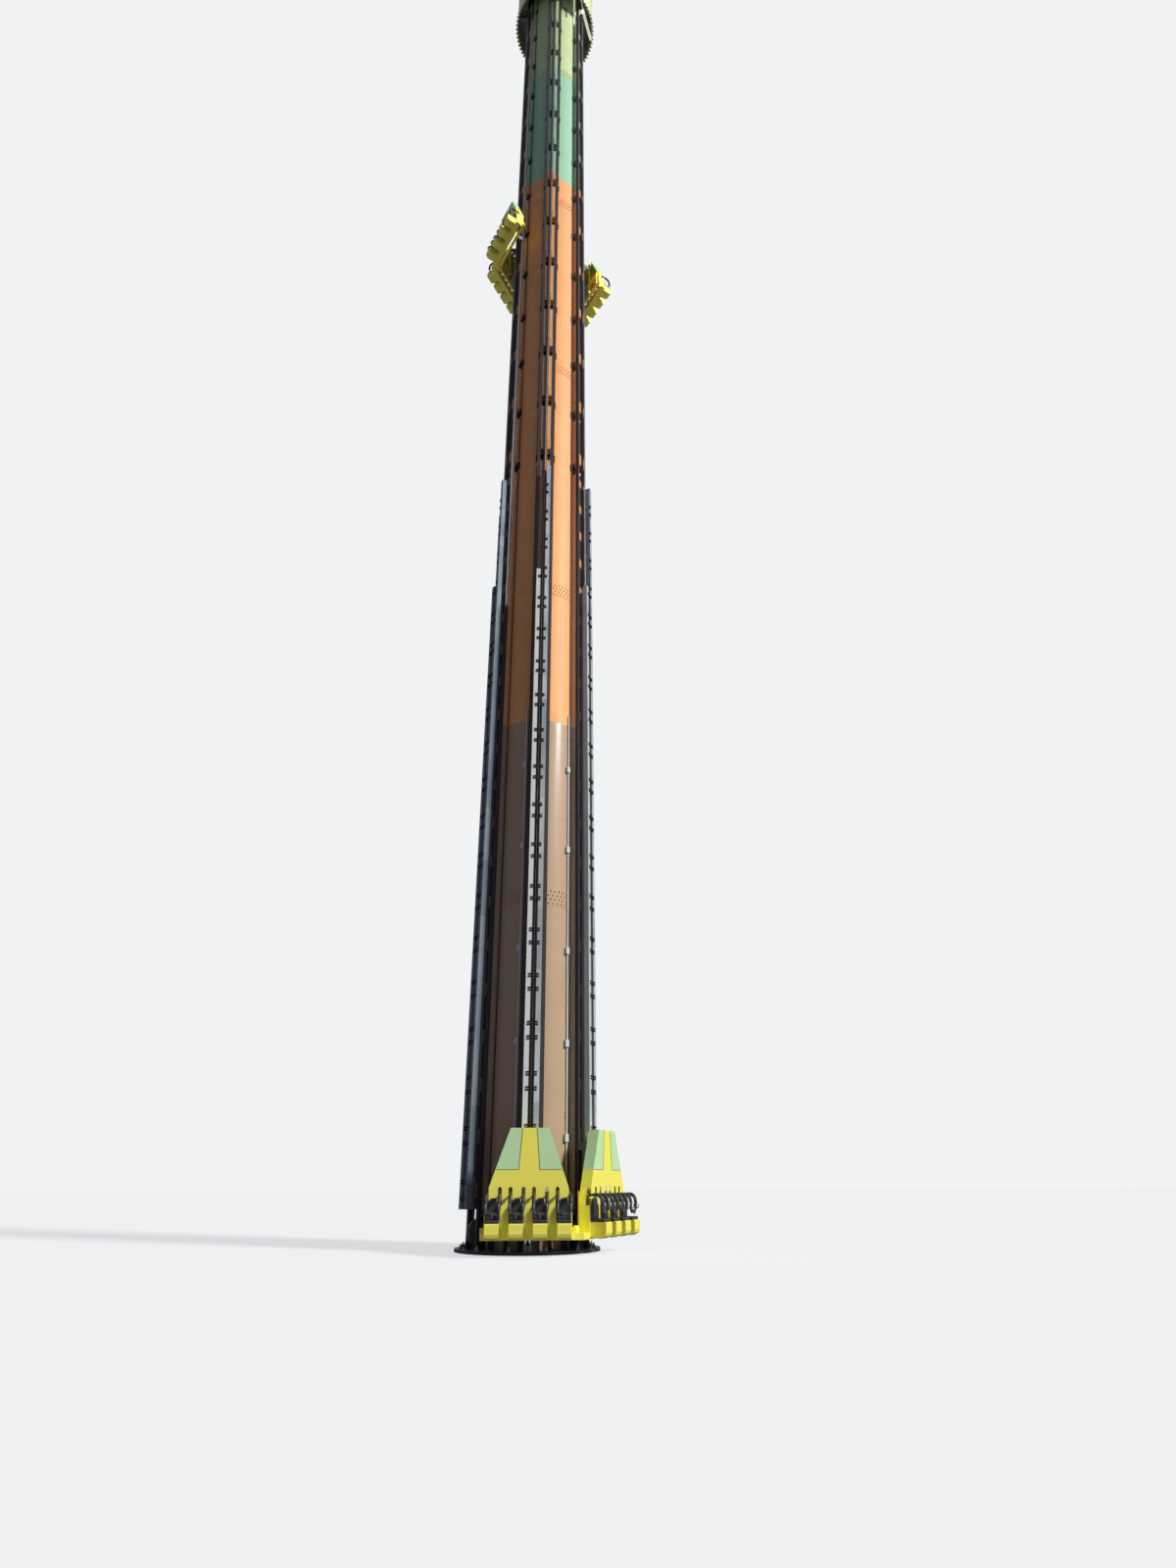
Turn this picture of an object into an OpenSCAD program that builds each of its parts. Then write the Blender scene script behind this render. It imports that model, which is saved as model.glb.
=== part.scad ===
// Drop tower ride, modelled at 1:2. Lengths are millimetres of the model.
// The tower axis is Z, the ground is Z = 0, and the front of the ride is -Y.
// Three gondolas share the column. Each is a V of two benches with four seats a bench.
// A bench is drawn with x along the bench, y outwards from the tower and z up.

/* [Tower] */
// Outside diameter of the column
column_d = 1440; // [1410:10:1460]
// Plate thickness of the column
column_wall = 14; // [8:1:20]
// Height of the lowest bolted column joint
first_joint_z = 4700; // [4300:50:5000]
// Length of a column section between two joints
section_len = 5925; // [5700:25:6000]
// Length of the top column section, up to the machinery deck
top_section_len = 4630; // [4400:10:5000]
// Height of the splice sleeve inside each column joint
sleeve_h = 300; // [200:10:500]
// Plate thickness of the splice sleeve
sleeve_wall = 10; // [6:1:14]

/* [Base] */
// Radius of the base flange
base_r = 1000; // [985:5:1010]
// Thickness of the base flange
base_t = 40; // [30:1:60]
// Diameter of the circle of anchor holes
anchor_pcd = 1860; // [1840:2:1900]
// Radius of an anchor hole
anchor_hole_r = 16; // [12:1:20]
// Height of a base gusset
gusset_h = 320; // [200:10:420]
// Thickness of a base gusset
gusset_t = 14; // [8:1:20]

/* [Guide rails] */
// Distance of the running face of a rail from the tower axis
rail_face_r = 870; // [866:1:874]
// Sideways distance of each rail of a pair from the middle of the pair
rail_offset = 135; // [134:1:140]
// Width of a rail
rail_w = 44; // [38:1:46]
// Depth of a rail
rail_depth = 60; // [55:1:70]
// Thickness of the rail head
rail_head_t = 16; // [12:1:20]
// Thickness of the rail web
rail_web_t = 16; // [10:1:22]
// Thickness of the rail foot
rail_foot_t = 8; // [6:1:12]
// Thickness of the painted strips between the rails
strip_t = 8; // [6:1:12]
// Distance of the painted strips behind the running faces of the rails
strip_set_back = 12; // [8:1:24]
// Gap between the two painted strips of a pair of rails
strip_gap = 44; // [36:2:60]
// Height of the lower end of the painted strips and the brake fins
strip_start_z = 520; // [500:10:700]

/* [Rail brackets] */
// Height of the lowest widely spaced bracket
upper_bracket_z = 14250; // [14000:50:14400]
// Spacing of the brackets above that height
upper_pitch = 1515; // [1450:5:1550]
// Spacing of the brackets below that height
lower_pitch = 675; // [640:5:680]
// Height of an upper bracket
upper_bracket_h = 275; // [200:5:320]
// Plate thickness of a bracket
bracket_t = 14; // [8:1:16]
// Height of the window in a strip below each upper bracket
window_h = 300; // [180:10:340]
// Width of the window
window_w = 66; // [50:2:76]

/* [Brake fins] */
// Distance of the front face of a brake fin from the tower axis
fin_face_r = 1020; // [1000:1:1022]
// Plate thickness of a brake fin
fin_t = 8; // [5:1:12]
// Gap between the two fins of a pair
fin_gap = 80; // [72:2:90]
// Width of the front face of a fin
fin_face_w = 72; // [50:1:73]
// Depth of the flange that runs back from the outer edge of a fin
fin_return = 82; // [60:1:84]
// Height of the top of the taller fin
tall_fin_top = 13500; // [13000:50:14000]
// Height of the top of the shorter fin
short_fin_top = 10950; // [10500:50:12000]

/* [Crown] */
// Outside radius of the crown skirt
skirt_r = 1125; // [1110:5:1150]
// Plate thickness of the crown skirt
skirt_wall = 10; // [6:1:16]
// Height of the skirt from its lower lip to the roof
skirt_h = 1790; // [1700:10:1900]
// Height of the machinery deck above the lip of the skirt
deck_rise = 780; // [700:10:860]
// Thickness of the deck plate
deck_t = 20; // [12:1:30]
// Depth of a radial beam under the deck
beam_h = 200; // [150:10:260]
// Rise of the roof from its edge to the middle
roof_rise = 90; // [60:5:140]
// Plate thickness of the roof
roof_t = 20; // [10:1:30]

/* [Hoist] */
// Distance of the outer run of a rope from the tower axis
rope_r = 930; // [925:1:940]
// Radius of a hoist rope
rope_radius = 7; // [5:0.5:8]
// Radius of the middle of the rope on its sheave
sheave_r = 150; // [130:2:160]
// Width of a sheave
sheave_w = 44; // [36:2:50]
// Height of the sheave axle above the plate that carries it
sheave_rise = 200; // [190:5:230]

/* [Gondola] */
// Height of the lowest point of the gondola that stands in the station
station_z = 190; // [185:5:260]
// Height of the lowest point of the raised right gondola
right_z = 20600; // [17000:50:28000]
// Height of the lowest point of the raised left gondola
left_z = 20950; // [17000:50:28000]
// Distance of the back of the bench frame from the tower axis
frame_r = 1035; // [1035:1:1045]
// Depth of the bench frame
frame_t = 40; // [30:1:50]
// Height of a frame beam
beam_z = 90; // [60:5:110]
// Gap kept between two neighbouring gondolas
gondola_gap = 16; // [12:1:24]

/* [Bench hoods] */
// Distance of the front face of a hood from the tower axis
hood_face_r = 1230; // [1220:1:1245]
// Plate thickness of a hood
hood_wall = 8; // [5:1:12]
// Height of a hood above the underside of the seats
hood_h = 1300; // [1250:10:1400]
// Height at which the green side panels start
split_z = 800; // [760:10:840]
// Half the width of the middle tongue where the green panels start
tongue_low = 135; // [115:5:145]
// Half the width of the middle tongue at the top
tongue_top = 95; // [80:5:110]

/* [Seats] */
// Spacing of the seats along a bench
seat_pitch = 300; // [290:2:306]
// Width of a seat pan
pan_w = 176; // [160:2:200]
// Depth of a seat pan from the hood to its front edge
pan_depth = 225; // [200:5:240]
// Height of the top of a seat pan
pan_h = 188; // [170:2:200]
// Thickness of a seat cushion
cushion_t = 40; // [25:1:50]
// Width of a seat cushion
cushion_w = 190; // [170:2:210]
// Height of the top of a seat back
back_top = 475; // [460:5:478]

/* [Harnesses] */
// Sideways distance of a harness arm from the middle of its seat
arm_offset = 83; // [80:1:88]
// Radius of a harness arm
arm_r = 14; // [10:1:15]
// Radius of the pad on a harness arm
pad_r = 22; // [18:1:26]
// Height of the harness shaft above the underside of the seats
pivot_z = 500; // [498:1:504]
// Distance of the harness shaft behind the face of the hood
pivot_back = 30; // [28:1:32]
// Forward reach of a harness from its shaft
harness_reach = 200; // [185:5:210]
// Height of the lap bar above the underside of the seats
lap_bar_z = 290; // [280:5:320]
// Width of the arched slots in a hood
slot_w = 50; // [46:1:54]
// Height of the top of the slots
slot_top = 600; // [595:5:620]

/* [Hidden] */
$fn = 64;

// Running gaps and seats
touch_gap = 0.3;
paint_gap = 0.6;

// Tower
column_r = column_d / 2;
column_bore_r = column_r - column_wall;
section_count = 6;
deck_z = first_joint_z + (section_count - 2) * section_len + top_section_len;
lip_z = deck_z - deck_rise;
roof_edge_z = lip_z + skirt_h + roof_t;
tower_h = roof_edge_z + roof_rise;
skirt_bore_r = skirt_r - skirt_wall;
deck_r = skirt_bore_r - touch_gap;
group_pitch = 60;

// Rail groups
rail_back_r = rail_face_r - rail_depth;
strip_half = rail_offset - rail_w / 2 - 7;
strip_face_r = rail_face_r - strip_set_back;
strip_back_r = strip_face_r - strip_t;
side_plate_r = rail_back_r - touch_gap;
side_root_r = sqrt(pow(column_r, 2) - pow(rail_offset - bracket_t / 2, 2)) + 2;
window_drop = upper_bracket_h / 2 + 6 + window_h;
bracket_half = rail_offset + rail_w / 2 - 8;
strip_len = deck_z - touch_gap - strip_start_z;
lower_count = floor((upper_bracket_z - strip_start_z - upper_bracket_h) / lower_pitch);
upper_count = floor((deck_z - upper_bracket_z - upper_bracket_h) / upper_pitch);
upper_levels = [for (i = [0 : upper_count]) upper_bracket_z + i * upper_pitch];
lower_levels = [for (i = [1 : lower_count]) upper_bracket_z - i * lower_pitch];
window_mid = (strip_gap / 2 + strip_half) / 2;
guide_half = strip_gap / 2 - 4;
guide_wall = 6;
guide_back_r = strip_back_r + 1 + touch_gap;
guide_face_r = rope_r - 34;

// Hoist
sheave_mid_r = rope_r - sheave_r;
top_sheave_z = deck_z + deck_t + sheave_rise;
base_sheave_z = base_t + sheave_rise;
pedestal_t = 12;
pedestal_w = 80;
sheave_gap = 14;
pedestal_in = sheave_w / 2 + sheave_gap;

// Gondolas: the direction of the corner of each V
front_az = -60;
right_az = 60;
left_az = 180;
frame_face_r = frame_r + frame_t;
low_beam_z = 40;
mid_beam_z = pivot_z - beam_z / 2;
top_beam_z = hood_h - beam_z - 30;
post_w = 30;
arm_post_in = rail_offset + rail_w / 2 + 7;
end_post_out = 1.7 * seat_pitch;
shaft_r = 9;
hub_r = 19;
hub_w = 34;
pivot_r = hood_face_r - pivot_back;
shaft_half = 1.5 * seat_pitch + arm_offset + hub_w / 2 + 6;
seat_places = [-1.5, -0.5, 0.5, 1.5] * seat_pitch;

// Half widths of the hood at named heights above the underside of the seats
hood_low_z = 20;
hood_low_half = 1.5 * seat_pitch + 110;
hood_hip_z = 400;
hood_hip_half = hood_low_half - 6;
hood_waist_z = slot_top;
hood_waist_half = hood_low_half - 52;
hood_top_half = hood_low_half - 306;
top_beam_half = hood_top_half - 2 * hood_wall;

// Carriages
roller_r = 30;
roller_w = 30;
side_roller_r = 22;
side_roller_w = 16;
carriage_h = 110;
carriage_arm_t = 30;
grip_half = 26;
grip_h = 120;
rope_clear = 5.5;

// Turn a thing drawn outwards along +Y to a compass direction of the tower
module at_azimuth(az) {
    rotate([0, 0, az - 90])
        children();
}

// A bar with a square section, given by its low corner and its size
module bar(x0, x1, y0, y1, z0, z1) {
    translate([x0, y0, z0])
        cube([x1 - x0, y1 - y0, z1 - z0]);
}

// The two sides of a pair, one on each side of the middle
module both_sides() {
    for (side = [0, 1])
        mirror([side, 0, 0])
            children();
}

// Tube around Z
module tube(r_out, r_in, z0, z1) {
    translate([0, 0, z0])
        difference() {
            cylinder(h = z1 - z0, r = r_out);
            translate([0, 0, -1])
                cylinder(h = z1 - z0 + 2, r = r_in);
        }
}

// Base flange with its anchor holes and gussets
module base_gusset() {
    rotate([90, 0, 0])
        translate([0, 0, -gusset_t / 2])
            linear_extrude(gusset_t)
                polygon([
                    [column_r + touch_gap, base_t - 2],
                    [base_r - 130, base_t - 2],
                    [base_r - 130, base_t + 30],
                    [column_r + 60, base_t + gusset_h],
                    [column_r + touch_gap, base_t + gusset_h]
                ]);
}

module base_flange() {
    color("dimgray")
        union() {
            difference() {
                cylinder(h = base_t, r = base_r);
                for (a = [15 : 30 : 345])
                    rotate([0, 0, a])
                        translate([anchor_pcd / 2, 0, -1])
                            cylinder(h = base_t + 2, r = anchor_hole_r);
            }
            for (a = [0 : group_pitch : 300])
                for (turn = [-8, 8])
                    rotate([0, 0, a + turn])
                        base_gusset();
        }
}

// Opening in the foot of the column, through which a rope sheave runs
module rope_opening() {
    bar(-pedestal_in + 2, pedestal_in - 2, column_bore_r - 20, column_r + 10,
        base_t - 1, base_sheave_z + sheave_r + 40);
}

// Column, in sections that join over an inner splice sleeve
function joint_z(i) = i == 0 ? base_t : first_joint_z + (i - 1) * section_len;

module column_section(i, paint) {
    z0 = joint_z(i);
    z1 = i == section_count - 1 ? deck_z : joint_z(i + 1);
    color(paint)
        union() {
            difference() {
                tube(column_r, column_bore_r, z0, z1);
                if (i == 0)
                    for (a = [30 : group_pitch : 330])
                        at_azimuth(a)
                            rope_opening();
            }
            if (i < section_count - 1) {
                tube(column_bore_r, column_bore_r - sleeve_wall, z1 - sleeve_h / 2, z1);
                tube(column_bore_r - touch_gap, column_bore_r - sleeve_wall, z1, z1 + sleeve_h / 2);
            }
        }
}

// Guide rails, each a rolled section with a head, a web and a foot
module rail_section() {
    union() {
        translate([-rail_w / 2, 0])
            square([rail_w, rail_foot_t]);
        translate([-rail_web_t / 2, 0])
            square([rail_web_t, rail_depth]);
        translate([-rail_w / 2, rail_depth - rail_head_t])
            square([rail_w, rail_head_t]);
    }
}

module rail_pair() {
    both_sides()
        translate([rail_offset, rail_back_r, base_t + touch_gap])
            linear_extrude(deck_z - base_t - 2 * touch_gap)
                rail_section();
}

// Rope guide, a channel that stands on the brackets between the two rails of a pair
module rope_guide() {
    difference() {
        bar(-guide_half, guide_half, guide_back_r, guide_face_r,
            strip_start_z, strip_start_z + strip_len);
        bar(-guide_half + guide_wall, guide_half - guide_wall,
            guide_back_r + guide_wall, guide_face_r + 1,
            strip_start_z - 1, strip_start_z + strip_len + 1);
    }
}

module guide_rails(vertex) {
    color([0.16, 0.14, 0.14])
        for (turn = [-30, 30])
            at_azimuth(vertex + turn) {
                rail_pair();
                rope_guide();
            }
}

// Painted carriers that hold the rails to the column: side plates, brackets and strips
module bracket_plate() {
    linear_extrude(bracket_t)
        difference() {
            union() {
                translate([-bracket_half, column_r - 60])
                    square([2 * bracket_half, side_plate_r - column_r + 55]);
                translate([-strip_half, side_plate_r - 10])
                    square([2 * strip_half, strip_back_r - side_plate_r + 11]);
            }
            circle(r = column_r + touch_gap, $fn = 256);
        }
}

module upper_bracket() {
    for (z = [-upper_bracket_h / 2, upper_bracket_h / 2 - bracket_t])
        translate([0, 0, z])
            bracket_plate();
}

// Pads on the strips in front of an upper bracket
module bracket_pads() {
    both_sides()
        bar(strip_gap / 2 + 4, strip_half - 4, strip_face_r - 1, strip_face_r + 6,
            -upper_bracket_h / 2, upper_bracket_h / 2);
}

// Strip with a window below each upper bracket
module strip() {
    upright(strip_back_r, strip_face_r)
        difference() {
            translate([strip_gap / 2, strip_start_z])
                square([strip_half - strip_gap / 2, strip_len]);
            for (z = upper_levels)
                translate([window_mid - window_w / 2, z - window_drop])
                    square([window_w, window_h]);
        }
}

// Side plate behind a rail, with a notch below each upper bracket
module side_plate() {
    translate([rail_offset - bracket_t / 2, 0, 0])
        rotate([90, 0, 90])
            linear_extrude(bracket_t)
                difference() {
                    translate([side_root_r, strip_start_z])
                        square([side_plate_r - side_root_r, strip_len]);
                    for (z = upper_levels)
                        translate([side_root_r - 1, z - window_drop])
                            square([side_plate_r - side_root_r - 13, window_h]);
                }
}

module rail_carrier() {
    union() {
        both_sides() {
            strip();
            side_plate();
        }
        for (z = upper_levels)
            translate([0, 0, z]) {
                upper_bracket();
                bracket_pads();
            }
        for (z = lower_levels)
            translate([0, 0, z])
                bracket_plate();
    }
}

module rail_carriers(vertex) {
    color([0.86, 0.52, 0.33])
        for (turn = [-30, 30])
            at_azimuth(vertex + turn)
                rail_carrier();
}

// Brake fins, channels on the strips: a tall and a short one on each pair of rails
module brake_fin(top_z) {
    translate([0, 0, strip_start_z])
        linear_extrude(top_z - strip_start_z)
            union() {
                translate([fin_gap / 2, strip_face_r + touch_gap])
                    square([fin_t, fin_face_r - strip_face_r - touch_gap]);
                translate([fin_gap / 2, fin_face_r - fin_t])
                    square([fin_face_w, fin_t]);
                translate([fin_gap / 2 + fin_face_w - fin_t, fin_face_r - fin_return])
                    square([fin_t, fin_return]);
            }
}

module brake_fins(vertex) {
    color("silver")
        for (turn = [-30, 30])
            at_azimuth(vertex + turn) {
                brake_fin(short_fin_top);
                mirror([1, 0, 0])
                    brake_fin(tall_fin_top);
            }
}

// Hoist: an endless rope on each pair of rails, round an upper and a lower sheave
module sheave() {
    rotate([0, 90, 0])
        rotate_extrude()
            polygon([
                [0, -sheave_w / 2],
                [sheave_r + rope_radius, -sheave_w / 2],
                [sheave_r - rope_radius - touch_gap, -rope_radius - 2],
                [sheave_r - rope_radius - touch_gap, rope_radius + 2],
                [sheave_r + rope_radius, sheave_w / 2],
                [0, sheave_w / 2]
            ]);
}

module sheave_with_pedestal() {
    translate([0, sheave_mid_r, 0])
        union() {
            sheave();
            rotate([0, 90, 0])
                cylinder(h = 2 * (pedestal_in + pedestal_t), r = 18, center = true);
            both_sides() {
                bar(pedestal_in, pedestal_in + pedestal_t,
                    -pedestal_w / 2, pedestal_w / 2, -sheave_rise + touch_gap, 0);
                translate([pedestal_in, 0, 0])
                    rotate([0, 90, 0])
                        cylinder(h = pedestal_t, r = pedestal_w / 2);
            }
        }
}

module rope_sheaves() {
    color([0.35, 0.36, 0.38])
        for (a = [30 : group_pitch : 330])
            at_azimuth(a)
                for (z = [base_sheave_z, top_sheave_z])
                    translate([0, 0, z])
                        sheave_with_pedestal();
}

module rope_bend() {
    rotate([90, 0, 90])
        rotate_extrude(angle = 180)
            translate([sheave_r, 0])
                circle(r = rope_radius);
}

module hoist_ropes() {
    color([0.2, 0.2, 0.21])
        for (a = [30 : group_pitch : 330])
            at_azimuth(a)
                union() {
                    for (y = [rope_r, rope_r - 2 * sheave_r])
                        translate([0, y, base_sheave_z])
                            cylinder(h = top_sheave_z - base_sheave_z, r = rope_radius);
                    translate([0, sheave_mid_r, top_sheave_z])
                        rope_bend();
                    translate([0, sheave_mid_r, base_sheave_z])
                        rotate([180, 0, 0])
                            rope_bend();
                }
}

// Crown: machinery deck on the column, with the skirt and the roof round it
module deck_beam() {
    bar(-6, 6, column_r + touch_gap, deck_r - 10, deck_z - beam_h, deck_z);
    bar(-40, 40, column_r + 20, deck_r - 20, deck_z - beam_h, deck_z - beam_h + 12);
}

module crown_deck() {
    color([0.45, 0.48, 0.40])
        difference() {
            union() {
                translate([0, 0, deck_z])
                    cylinder(h = deck_t, r = deck_r);
                tube(deck_r, deck_r - 14, deck_z - beam_h / 2, deck_z);
                for (a = [0 : group_pitch : 300])
                    at_azimuth(a)
                        deck_beam();
            }
            for (a = [30 : group_pitch : 330])
                at_azimuth(a)
                    bar(-pedestal_in + 2, pedestal_in - 2,
                        sheave_mid_r - sheave_r - 40, rope_r + 40,
                        deck_z - 1, deck_z + deck_t + 1);
        }
}

module crown_skirt() {
    color([0.72, 0.82, 0.45])
        union() {
            tube(skirt_r, skirt_bore_r, lip_z, roof_edge_z - roof_t);
            tube(skirt_r + 10, skirt_bore_r - 10, lip_z, lip_z + 40);
            tube(skirt_bore_r, skirt_bore_r - 30, roof_edge_z - roof_t - 12, roof_edge_z - roof_t);
        }
}

module crown_roof() {
    color([0.66, 0.76, 0.42])
        rotate_extrude()
            polygon([
                [0, tower_h - roof_t],
                [skirt_r - 60, roof_edge_z - roof_t],
                [skirt_r + 10, roof_edge_z - roof_t],
                [skirt_r + 10, roof_edge_z],
                [0, tower_h]
            ]);
}

// Plan of one gondola: a third of the circle, less half the gap on each side
module gondola_plan() {
    reach = 2 * frame_r;
    tip = gondola_gap / 2 / sin(60);
    polygon([
        [0, tip],
        [reach * sin(60), tip + reach * cos(60)],
        [0, 3 * reach],
        [-reach * sin(60), tip + reach * cos(60)]
    ]);
}

module hex_ring(z0, z1) {
    translate([0, 0, z0])
        linear_extrude(z1 - z0)
            intersection() {
                difference() {
                    rotate([0, 0, 30])
                        circle(r = frame_face_r / cos(30), $fn = 6);
                    rotate([0, 0, 30])
                        circle(r = frame_r / cos(30), $fn = 6);
                }
                gondola_plan();
            }
}

// Run something on both benches of a gondola whose corner points to +Y
module both_benches() {
    for (turn = [-30, 30])
        rotate([0, 0, turn])
            children();
}

// Frame: a ring beam, bench beams, posts and the harness shaft with its bearing plates
module bench_posts() {
    both_sides() {
        bar(arm_post_in, arm_post_in + post_w, frame_r, frame_face_r, low_beam_z, top_beam_z + beam_z);
        bar(end_post_out - post_w, end_post_out, frame_r, frame_face_r,
            low_beam_z, mid_beam_z + beam_z);
    }
    bar(-end_post_out, end_post_out, frame_r, frame_face_r, mid_beam_z, mid_beam_z + beam_z);
    bar(-top_beam_half, top_beam_half, frame_r, frame_face_r, top_beam_z, top_beam_z + beam_z);
}

module harness_shaft() {
    translate([0, pivot_r, pivot_z])
        rotate([0, 90, 0])
            cylinder(h = 2 * shaft_half, r = shaft_r, center = true);
    for (x = [-1, 0, 1] * seat_pitch)
        bar(x - 6, x + 6, frame_face_r - 1, pivot_r + 4, pivot_z - 24, pivot_z + 24);
    both_sides()
        bar(1.5 * seat_pitch - 6, 1.5 * seat_pitch + 6, frame_face_r - 1, pivot_r + 4,
            pivot_z - 24, pivot_z + 24);
}

module gondola_frame() {
    color([0.93, 0.86, 0.16])
        union() {
            hex_ring(low_beam_z, low_beam_z + beam_z);
            both_benches() {
                bench_posts();
                harness_shaft();
            }
            translate([0, frame_face_r / cos(30) - 10, low_beam_z - 20])
                cylinder(h = beam_z + 40, r = 34);
        }
}

// Hoods: a folded sheet over each bench, with an arched slot for each harness arm
module hood_outline(inset) {
    polygon([
        [-hood_low_half + inset, hood_low_z - 1],
        [hood_low_half - inset, hood_low_z - 1],
        [hood_hip_half - inset, hood_hip_z],
        [hood_waist_half - inset, hood_waist_z],
        [hood_top_half - inset, hood_h - inset],
        [-hood_top_half + inset, hood_h - inset],
        [-hood_waist_half + inset, hood_waist_z],
        [-hood_hip_half + inset, hood_hip_z]
    ]);
}

module upright(y0, y1) {
    translate([0, y1, 0])
        rotate([90, 0, 0])
            linear_extrude(y1 - y0)
                children();
}

module hood_shell() {
    difference() {
        upright(frame_face_r, hood_face_r)
            hood_outline(0);
        upright(frame_face_r - 1, hood_face_r - hood_wall)
            hood_outline(hood_wall);
        bar(-2 * hood_low_half, 2 * hood_low_half, frame_r, hood_face_r + 1,
            hood_low_z - 2, hood_low_z);
        for (x = seat_places)
            for (side = [-1, 1])
                translate([x + side * arm_offset, 0, 0])
                    arm_slot();
    }
}

module arm_slot() {
    slot_r = slot_w / 2;
    upright(pivot_r - hub_r - 12, hood_face_r + 1)
        union() {
            translate([-slot_r, back_top - 95])
                square([slot_w, slot_top - slot_r - back_top + 95]);
            translate([0, slot_top - slot_r])
                circle(r = slot_r);
        }
}

// The middle tongue and all that lies below the green panels
module tongue_region(clearance) {
    upright(frame_r, hood_face_r + 1)
        polygon([
            [-2 * hood_low_half, -10],
            [2 * hood_low_half, -10],
            [2 * hood_low_half, split_z + clearance],
            [tongue_low + clearance, split_z + clearance],
            [tongue_top + clearance, hood_h + 10],
            [-tongue_top - clearance, hood_h + 10],
            [-tongue_low - clearance, split_z + clearance],
            [-2 * hood_low_half, split_z + clearance]
        ]);
}

module hoods() {
    color([0.94, 0.88, 0.20])
        both_benches()
            intersection() {
                hood_shell();
                tongue_region(0);
            }
}

module green_panels() {
    color([0.60, 0.80, 0.44])
        both_benches()
            difference() {
                hood_shell();
                tongue_region(paint_gap);
            }
}

// Seat pans, cushions and seat backs
module seat_pan() {
    rotate([90, 0, 90])
        translate([0, 0, -pan_w / 2])
            linear_extrude(pan_w)
                polygon([
                    [hood_face_r, 16],
                    [hood_face_r + 0.66 * pan_depth, 0],
                    [hood_face_r + pan_depth - 14, 34],
                    [hood_face_r + pan_depth, 70],
                    [hood_face_r + pan_depth, pan_h - 14],
                    [hood_face_r + pan_depth - 14, pan_h],
                    [hood_face_r, pan_h]
                ]);
}

module seat_pans() {
    color([0.94, 0.88, 0.20])
        both_benches()
            for (x = seat_places)
                translate([x, 0, 0])
                    seat_pan();
}

module seat_cushion() {
    front_r = cushion_t / 2;
    y0 = hood_face_r + 46;
    y1 = hood_face_r + pan_depth - 12;
    translate([-cushion_w / 2, 0, pan_h])
        rotate([90, 0, 90])
            linear_extrude(cushion_w)
                union() {
                    translate([y0, 0])
                        square([y1 - y0 - front_r, cushion_t]);
                    translate([y1 - front_r, front_r])
                        circle(r = front_r);
                }
}

module seat_back() {
    dome_r = 60;
    shoulder_z = back_top - 75;
    upright(hood_face_r + touch_gap, hood_face_r + 40)
        union() {
            translate([-cushion_w / 2, pan_h + 4])
                square([cushion_w, shoulder_z - pan_h - 24]);
            translate([-cushion_w / 2 + 20, pan_h + 4])
                square([cushion_w - 40, shoulder_z - pan_h - 4]);
            both_sides()
                translate([cushion_w / 2 - 20, shoulder_z - 20])
                    circle(r = 20);
            translate([-dome_r, pan_h + 20])
                square([2 * dome_r, back_top - dome_r - pan_h - 20]);
            translate([0, back_top - dome_r])
                circle(r = dome_r);
        }
}

module cushions() {
    color([0.09, 0.09, 0.10])
        both_benches()
            for (x = seat_places)
                translate([x, 0, 0]) {
                    seat_cushion();
                    seat_back();
                }
}

// Carriages: roller arms that run on the rails, and the grip round the hoist rope
module roller_arm() {
    arm_in = arm_post_in;
    arm_out = arm_in + carriage_arm_t;
    axle_y = rail_face_r + touch_gap + roller_r;
    side_x = rail_offset + rail_w / 2 + touch_gap + side_roller_r;
    union() {
        bar(arm_in, arm_out, rail_face_r + 6, frame_r, 0, carriage_h);
        translate([rail_offset - roller_w / 2 - 4, axle_y, carriage_h / 2])
            rotate([0, 90, 0])
                cylinder(h = arm_in - rail_offset + roller_w / 2 + 5, r = 9);
        translate([rail_offset - roller_w / 2, axle_y, carriage_h / 2])
            rotate([0, 90, 0])
                cylinder(h = roller_w, r = roller_r);
        translate([side_x, rail_face_r - rail_head_t, carriage_h / 2])
            rotate([-90, 0, 0])
                cylinder(h = side_roller_w, r = side_roller_r);
        translate([side_x, rail_face_r - rail_head_t, carriage_h / 2])
            rotate([-90, 0, 0])
                cylinder(h = rail_head_t + 8, r = 8);
    }
}

module rope_grip() {
    difference() {
        bar(-grip_half, grip_half, rope_r - 25, frame_r, 0, grip_h);
        translate([0, rope_r, -1])
            cylinder(h = grip_h + 2, r = rope_radius + rope_clear);
    }
}

module carriages() {
    color([0.22, 0.22, 0.24])
        both_benches() {
            for (z = [low_beam_z + beam_z + 60, top_beam_z - carriage_h - 20])
                translate([0, 0, z])
                    both_sides()
                        roller_arm();
            translate([0, 0, top_beam_z - 20])
                rope_grip();
        }
}

// Harnesses: a U of padded tube over the shoulders, hung on the shaft of the bench
module quarter_bend(bend_r, tube_r) {
    rotate_extrude(angle = 90)
        translate([bend_r, 0])
            circle(r = tube_r);
}

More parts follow.
